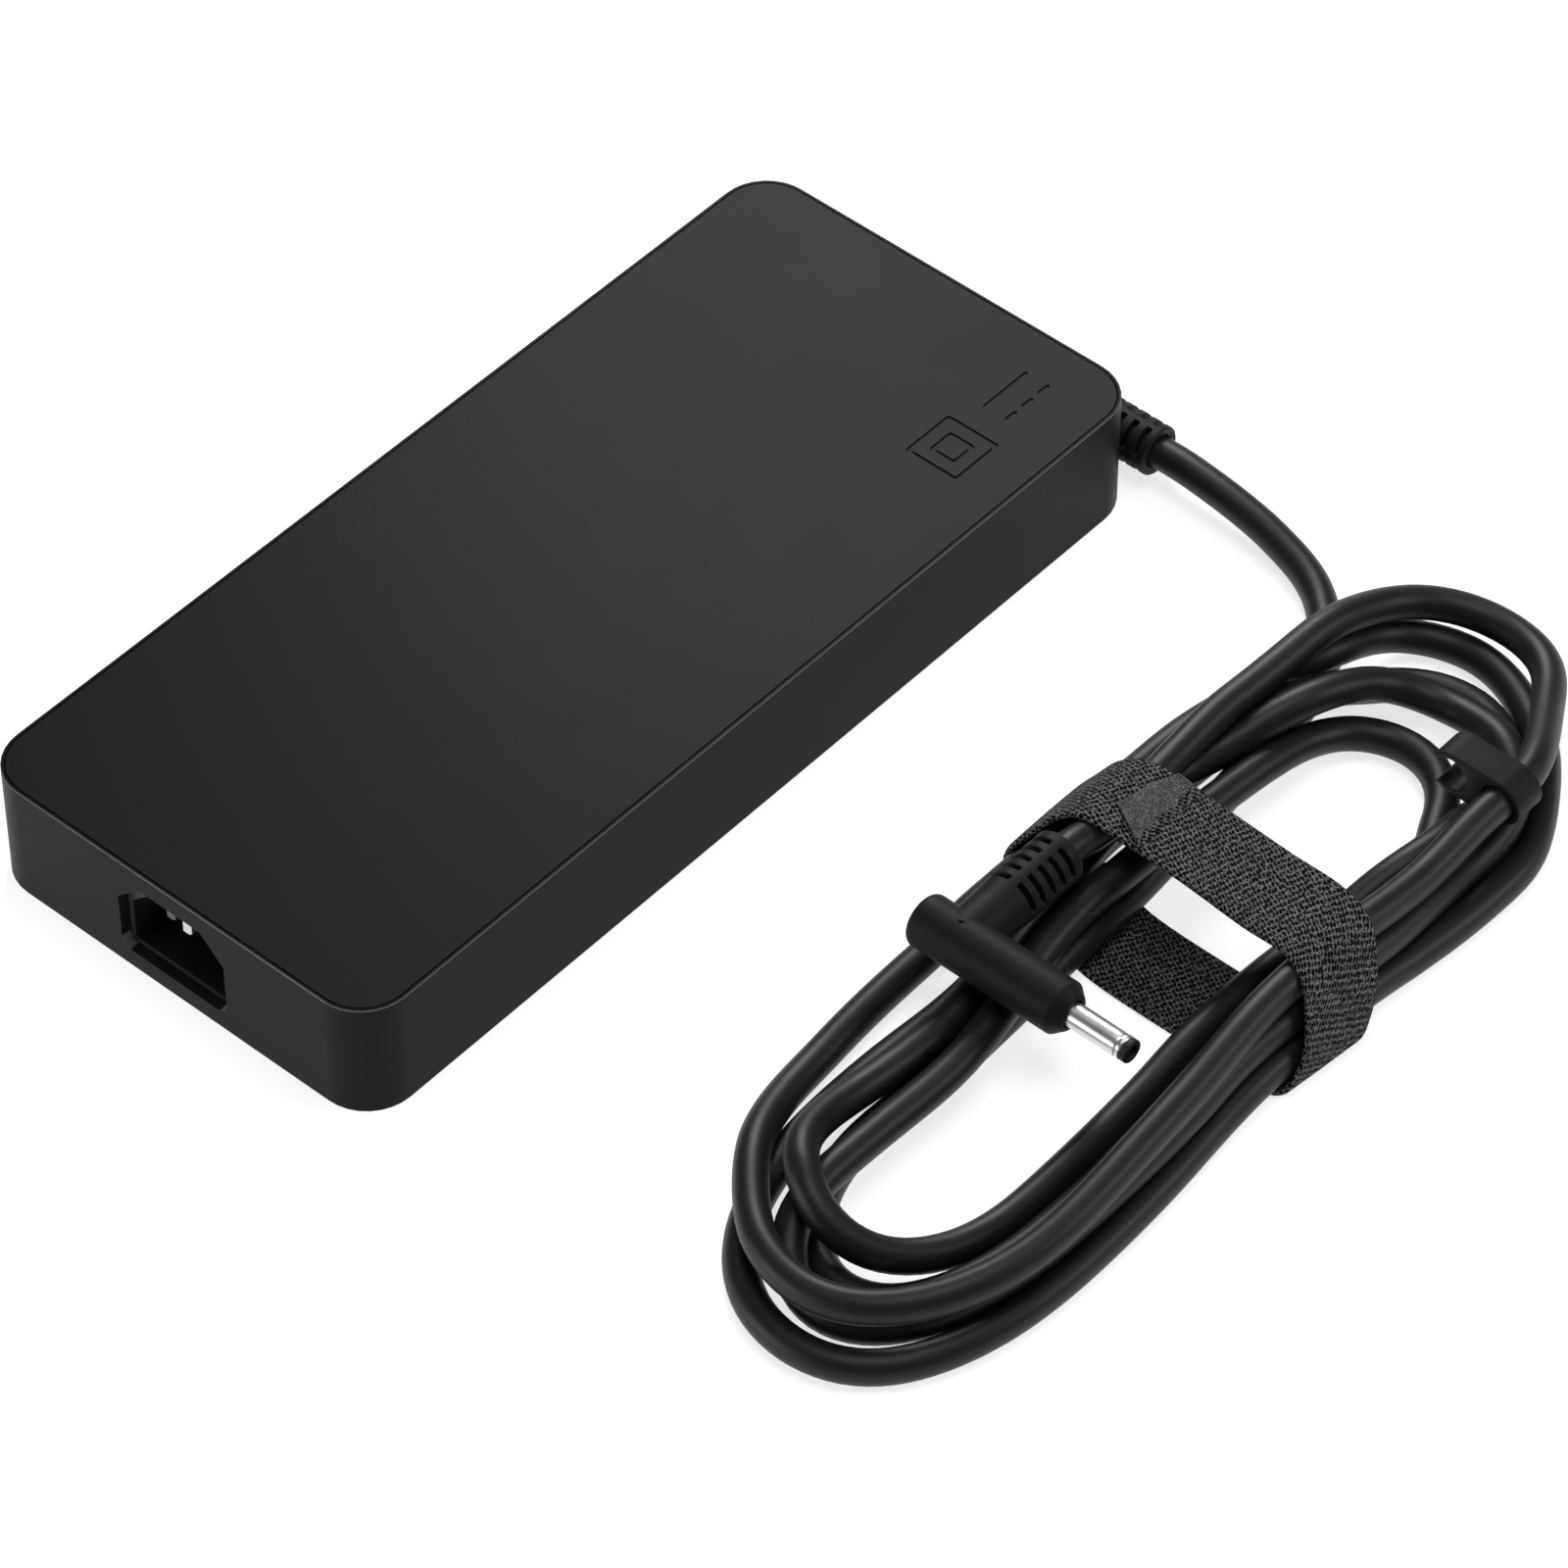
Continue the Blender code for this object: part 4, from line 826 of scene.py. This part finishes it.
def closed_band(name, left_edge, right_edge, thickness, crown, finish):
    """A closed band of cloth lofted between its two long edges, with UVs in metres along and across."""
    count = len(left_edge)
    left = [Vector(place) for place in left_edge]
    right = [Vector(place) for place in right_edge]
    middles = [(first + second) / 2 for first, second in zip(left, right)]
    builder = bmesh.new()
    uv = builder.loops.layers.uv.new("UVMap")
    rings = []
    for number in range(count):
        after = (number + 1) % count
        ahead = left[after] + right[after] - left[number - 1] - right[number - 1]
        across = right[number] - left[number]
        width = across.length
        across.normalize()
        outward = ahead.normalized().cross(across).normalized()
        ring = []
        for side, up in rounded_section(width, thickness):
            bulge = crown * (1 - (2 * side / width) ** 2)
            place = middles[number] + across * side + outward * (up + bulge)
            ring.append(builder.verts.new(place * MM))
        rings.append(ring)
    section = rounded_section((left[0] - right[0]).length, thickness)
    run = [0.0]
    for first, second in zip(section, section[1:] + section[:1]):
        run.append(run[-1] + math.dist(first, second))
    stop = 0.0
    for low in range(count):
        high = (low + 1) % count
        start = stop
        stop = start + (middles[high] - middles[low]).length
        for step in range(len(section)):
            after = (step + 1) % len(section)
            corners = (rings[low][step], rings[low][after], rings[high][after], rings[high][step])
            places = ((start, run[step]), (start, run[step + 1]), (stop, run[step + 1]), (stop, run[step]))
            face = builder.faces.new(corners)
            for loop, place in zip(face.loops, places):
                loop[uv].uv = (place[0] * MM, place[1] * MM)
    bmesh.ops.recalc_face_normals(builder, faces=builder.faces)
    mesh = bpy.data.meshes.new(name)
    builder.to_mesh(mesh)
    builder.free()
    return new_piece(name, mesh, finish, 60)


def strap():
    front = smooth_loop(STRAP_FRONT, STRAP_STEPS)
    back = smooth_loop(STRAP_BACK, STRAP_STEPS)
    item = closed_band("strap_band", front, back, STRAP_THICKNESS, STRAP_CROWN, FINISH["strap"])
    return finish_piece(item, "adapter", "strap", "hook_and_loop_strap")


def strap_tab():
    """The strap's free end with its hooks, cut off at a slant and pressed on the strap."""
    half = 9.0
    reach = TAB_HINGE_X - TAB_TIP_X
    low = 20.3
    thickness = 0.5
    sink_depth = 0.5            # how deep the hinge end lies in the strap
    sink_length = 3.5
    tip_lift = 0.2
    fold_place = 0.48 * reach   # a soft fold crosses the tab here
    fold_slant = 0.08
    fold_reach = 3.2            # from its crest to the flat cloth
    fold_height = 0.38
    outline = [(0, -0.93 * half), (0, half), (-0.6 * reach, half), (-0.85 * reach, 0.45 * half),
               (-reach, -0.33 * half)]
    builder = bmesh.new()
    uv = builder.loops.layers.uv.new("UVMap")
    corners = [builder.verts.new((x, y, 0)) for x, y in outline]
    builder.faces.new(corners)
    bmesh.ops.triangulate(builder, faces=builder.faces)
    bmesh.ops.subdivide_edges(builder, edges=builder.edges, cuts=15, use_grid_fill=True)
    for vert in builder.verts:
        x, y = vert.co.x, vert.co.y
        fold = max(1 - abs(x + fold_place + fold_slant * y) / fold_reach, 0)
        sunk = sink_depth * (1 - smooth_step(-x / sink_length))
        lift = tip_lift * smooth_step(-x / reach) + fold_height * fold ** 1.5 - sunk
        vert.co = Vector((TAB_HINGE_X + x, TAB_Y + y, low + thickness / 2 + lift)) * MM
    for face in builder.faces:
        for loop in face.loops:
            loop[uv].uv = (loop.vert.co.x, loop.vert.co.y)
    mesh = bpy.data.meshes.new("strap_end")
    builder.to_mesh(mesh)
    builder.free()
    item = new_piece("strap_end", mesh, FINISH["hooks"], 60)
    thick = item.modifiers.new("thickness", "SOLIDIFY")
    thick.thickness = thickness * MM
    thick.offset = 0
    soft = item.modifiers.new("soft_edge", "BEVEL")
    soft.width = 0.15 * MM
    soft.segments = 2
    return finish_piece(item, "tab", "strap", "strap_tab")


# ---------------------------------------------------------------- plug

def slot_columns(angle, first, half_width):
    """One where any of four columns of slots runs, zero on the ridges between them; in degrees."""
    turn = (math.degrees(angle) - first + 45) % 90 - 45
    return plateau(turn, half_width, 4)


def sleeve_radius(distance, angle):
    """Skin of the plug's branch sleeve: waisted at the body, with four columns of slots."""
    waist = 0.35
    rim = 0.35
    rim_length = 0.45
    slot_depth = 1.35
    slot_pitch = 2.62
    end = SLEEVE_END_Y - PLUG_Y
    along = distance / MM
    radius = SLEEVE_RADIUS - waist * smooth_step((end - 12.5 - along) / 6)
    radius -= rim * smooth_step((along - end + rim_length) / rim_length)
    columns = slot_columns(angle, 53, 31)
    for number in range(5):
        centre = end - 2.75 - slot_pitch * number
        radius -= slot_depth * columns * plateau(along - centre, 0.38, 0.2)
    return radius * MM


def plug():
    """The moulded right-angled body, its branch sleeve and a small dimple over their joint."""
    row_height = 0.13
    end = SLEEVE_END_Y - PLUG_Y
    rows = round(end / row_height)
    path = [Vector((SLEEVE_X, PLUG_Y + end * row / rows, PLUG_Z)) * MM for row in range(rows + 1)]
    sleeve = sculpted_tube("plug_sleeve", path, sleeve_radius, 120, FINISH["moulding"])
    length = PLUG_RIGHT - PLUG_LEFT
    dome = 1.6                          # length of the rounding at the blind end
    dome_steps = 8
    face_radius = PLUG_RADIUS * 0.72
    swell = PLUG_RADIUS * 0.28
    profile = [(0, 0), (0, PLUG_RADIUS * 0.62)]
    for step in range(2, dome_steps + 1):
        angle = math.pi / 2 * step / dome_steps
        profile.append((dome * (1 - math.cos(angle)), face_radius + swell * math.sin(angle)))
    bands = 24
    straight = length - 9.6             # from the dome to the nose
    profile += [(dome + step * straight / bands, PLUG_RADIUS) for step in range(1, bands + 1)]
    nose = [(length - 7, PLUG_RADIUS), (length - 2.1, PLUG_RADIUS), (length - 0.5, PLUG_RADIUS - 1.35),
            (length, PLUG_RADIUS - 1.7), (length, 2.6)]
    profile += rounded_profile(nose, 0.25)
    profile += [(length - 0.6, 2.55), (length - 0.6, 0)]
    body = turned("plug_shell", profile, (PLUG_LEFT, PLUG_Y, PLUG_Z), ALONG_X, FINISH["moulding"], 96)
    join_solid(body, sleeve)
    dimple = turned("plug_dimple", [(-0.5, 0), (-0.5, 0.35), (0.7, 0.35), (0.7, 0)],
                    (SLEEVE_X, PLUG_Y, PLUG_Z + PLUG_RADIUS), UP, FINISH["moulding"], 16)
    hole = body.modifiers.new("dimple", "BOOLEAN")
    hole.operation = "DIFFERENCE"
    hole.object = dimple
    apply_modifiers(body)
    bpy.data.objects.remove(dimple)
    return finish_piece(body, "adapter", "moulding", "plug_body")


def plug_metal():
    """The bright barrel with a groove near its tip, its insulating liner and the centre pin."""
    sunk = 0.4                          # how far the pieces start inside the plug
    start = (PLUG_RIGHT - sunk, PLUG_Y, PLUG_Z)
    length = BARREL_LENGTH + 0.6
    bore = 1.9
    groove = 0.14
    outer = [(0, bore), (0, BARREL_RADIUS)]
    outer += [(step, BARREL_RADIUS) for step in range(1, 10)]
    outer += [(length - 2.5, BARREL_RADIUS), (length - 2.3, BARREL_RADIUS - groove),
              (length - 2.1, BARREL_RADIUS), (length - 1.5, BARREL_RADIUS), (length - 1.2, 1.95),
              (length - 1.2, bore)]
    wall = rounded_profile(outer, 0.12, 3) + [(0, bore)]
    barrel = turned("barrel", wall, start, ALONG_X, FINISH["nickel"])
    hole = 1.2
    tip = [(1.0, hole), (1.0, 1.82), (length - 1.12, 1.82), (length - 1.1, 2.2), (length - 0.2, 2.2),
           (length, 2.05), (length, 1.35), (length - 0.3, hole)]
    lining = rounded_profile(tip, 0.08, 3) + [(1.0, hole)]
    liner = turned("barrel_liner", lining, start, ALONG_X, FINISH["socket"])
    needle = [(1.0, 0), (1.0, 0.42), (length - 3, 0.42), (length - 2.6, 0.25), (length - 2.5, 0)]
    pin = turned("centre_pin", needle, start, ALONG_X, FINISH["nickel"], 24)
    finish_piece(barrel, "adapter", "nickel", "plug_barrel")
    finish_piece(liner, "adapter", "socket", "plug_insulator")
    finish_piece(pin, "adapter", "nickel", "plug_centre_pin")
    return [barrel, liner, pin]


# ---------------------------------------------------------------- strain relief and clip

def relief_radius(distance, angle, total):
    """Skin of the relief: a slight taper, rows of slots and a plain end ring."""
    taper = 0.1
    rim = 0.3
    rim_length = 0.35
    slot_depth = 1.3
    slot_pitch = 2.9
    first_slot = 2.05                   # centre of the slots nearest the tip
    from_tip = total - distance / MM
    radius = RELIEF_RADIUS - taper * (1 - from_tip / total)
    radius -= rim * smooth_step((rim_length - from_tip) / rim_length)
    columns = slot_columns(angle, 41.5, 33)
    for number in range(6):
        radius -= slot_depth * columns * plateau(from_tip - first_slot - slot_pitch * number, 0.5, 0.15)
    return radius * MM


def strain_relief():
    """The slotted sleeve: out of the housing's end, round a right angle and along X."""
    row_height = 0.14
    bend = RELIEF_Y - HOUSING_END_Y
    bend_steps = 12
    route = [(RELIEF_X, y, RELIEF_Z) for y in (97.0, 98.0, 99.0)]
    for step in range(bend_steps + 1):
        angle = math.pi - math.pi / 2 * step / bend_steps
        x = RELIEF_X + bend + bend * math.cos(angle)
        y = HOUSING_END_Y + bend * math.sin(angle)
        route.append((x, y, RELIEF_Z))
    straight = RELIEF_TIP_X - RELIEF_X - bend
    rows = round(straight / row_height)
    route += [(RELIEF_X + bend + straight * row / rows, RELIEF_Y, RELIEF_Z) for row in range(1, rows + 1)]
    total = sum(math.dist(first, second) for first, second in zip(route, route[1:]))
    item = sculpted_tube("cord_relief", in_metres(route), lambda s, a: relief_radius(s, a, total), 112,
                         FINISH["moulding"])
    bore = turned("relief_bore", [(-1.4, 0), (-1.4, 3.25), (-0.3, 3.25), (0.1, 3.6), (0.5, 3.6), (0.5, 0)],
                  (RELIEF_TIP_X, RELIEF_Y, RELIEF_Z), ALONG_X, FINISH["moulding"], 48)
    hole = item.modifiers.new("bore", "BOOLEAN")
    hole.operation = "DIFFERENCE"
    hole.object = bore
    apply_modifiers(item)
    bpy.data.objects.remove(bore)
    return finish_piece(item, "adapter", "moulding", "strain_relief")


def arc(centre, radius, start, stop, steps):
    turns = [math.radians(start + (stop - start) * step / steps) for step in range(steps + 1)]
    return [(centre[0] + radius * math.cos(turn), centre[1] + radius * math.sin(turn)) for turn in turns]


def cable_clip():
    """A ring closed round the cord and an open jaw beside it, drawn in XZ and extruded along Y."""
    ring = (0, 0)
    jaw = (-9.9, 0)
    radius = 4.6
    width = 6.6
    bead = 0.28
    outer = arc(ring, radius, -90, 90, 24)
    outer += arc(jaw, radius, 90, 150, 12)
    outer += arc(jaw, 3.3, 150, -131, 40)
    outer += arc(jaw, radius, 229, 270, 8)
    bore = arc(ring, 3.4, 0, 352.5, 47)
    curve = bpy.data.curves.new("clip_outline", "CURVE")
    curve.dimensions = "2D"
    curve.fill_mode = "BOTH"
    curve.extrude = (width / 2 - bead) * MM
    curve.bevel_depth = bead * MM
    curve.offset = -bead * MM
    curve.bevel_resolution = 2
    for loop in (outer, bore):
        spline = curve.splines.new("POLY")
        spline.points.add(len(loop) - 1)
        spline.use_cyclic_u = True
        for point, (x, z) in zip(spline.points, loop):
            point.co = (x * MM, z * MM, 0, 1)
    source = bpy.data.objects.new("clip_outline", curve)
    bpy.context.scene.collection.objects.link(source)
    bpy.context.view_layer.update()
    mesh = bpy.data.meshes.new_from_object(source.evaluated_get(bpy.context.evaluated_depsgraph_get()))
    bpy.data.objects.remove(source)
    mesh.transform(Matrix.Rotation(math.radians(90), 4, "X"))
    mesh.transform(Matrix.Translation(Vector(CLIP_CENTRE) * MM))
    builder = bmesh.new()
    builder.from_mesh(mesh)
    bmesh.ops.remove_doubles(builder, verts=builder.verts, dist=0.001 * MM)
    bmesh.ops.recalc_face_normals(builder, faces=builder.faces)
    builder.to_mesh(mesh)
    builder.free()
    mesh.materials.clear()
    item = new_piece("cord_clip", mesh, FINISH["moulding"], 40)
    return finish_piece(item, "clip", "moulding", "cable_clip")


# ---------------------------------------------------------------- carried-over solids

def dress_node(item, slot):
    """Gives a solid from the CAD smooth rounds, crisp edges and flat faces, and its finish."""
    mesh = item.data
    if "custom_normal" in mesh.attributes:
        mesh.attributes.remove(mesh.attributes["custom_normal"])
    mesh.shade_smooth()
    weld = item.modifiers.new("weld", "WELD")
    weld.merge_threshold = 0.001 * MM
    split = item.modifiers.new("creases", "EDGE_SPLIT")
    split.split_angle = math.radians(32)
    flat = item.modifiers.new("flat_faces", "WEIGHTED_NORMAL")
    flat.mode = "FACE_AREA"
    flat.weight = 100
    mesh.materials.clear()
    mesh.materials.append(FINISH[slot])


def dress_frame():
    for item in frame["nodes"].values():
        slot = item.data.materials[0].name.split(".")[0]
        dress_node(item, slot)


# ---------------------------------------------------------------- the scene

camera()
lead = cord()
band = strap()
tab = strap_tab()
plug_shell = plug()
metal = plug_metal()
relief = strain_relief()
clip = cable_clip()
dress_frame()

floor()
lights()
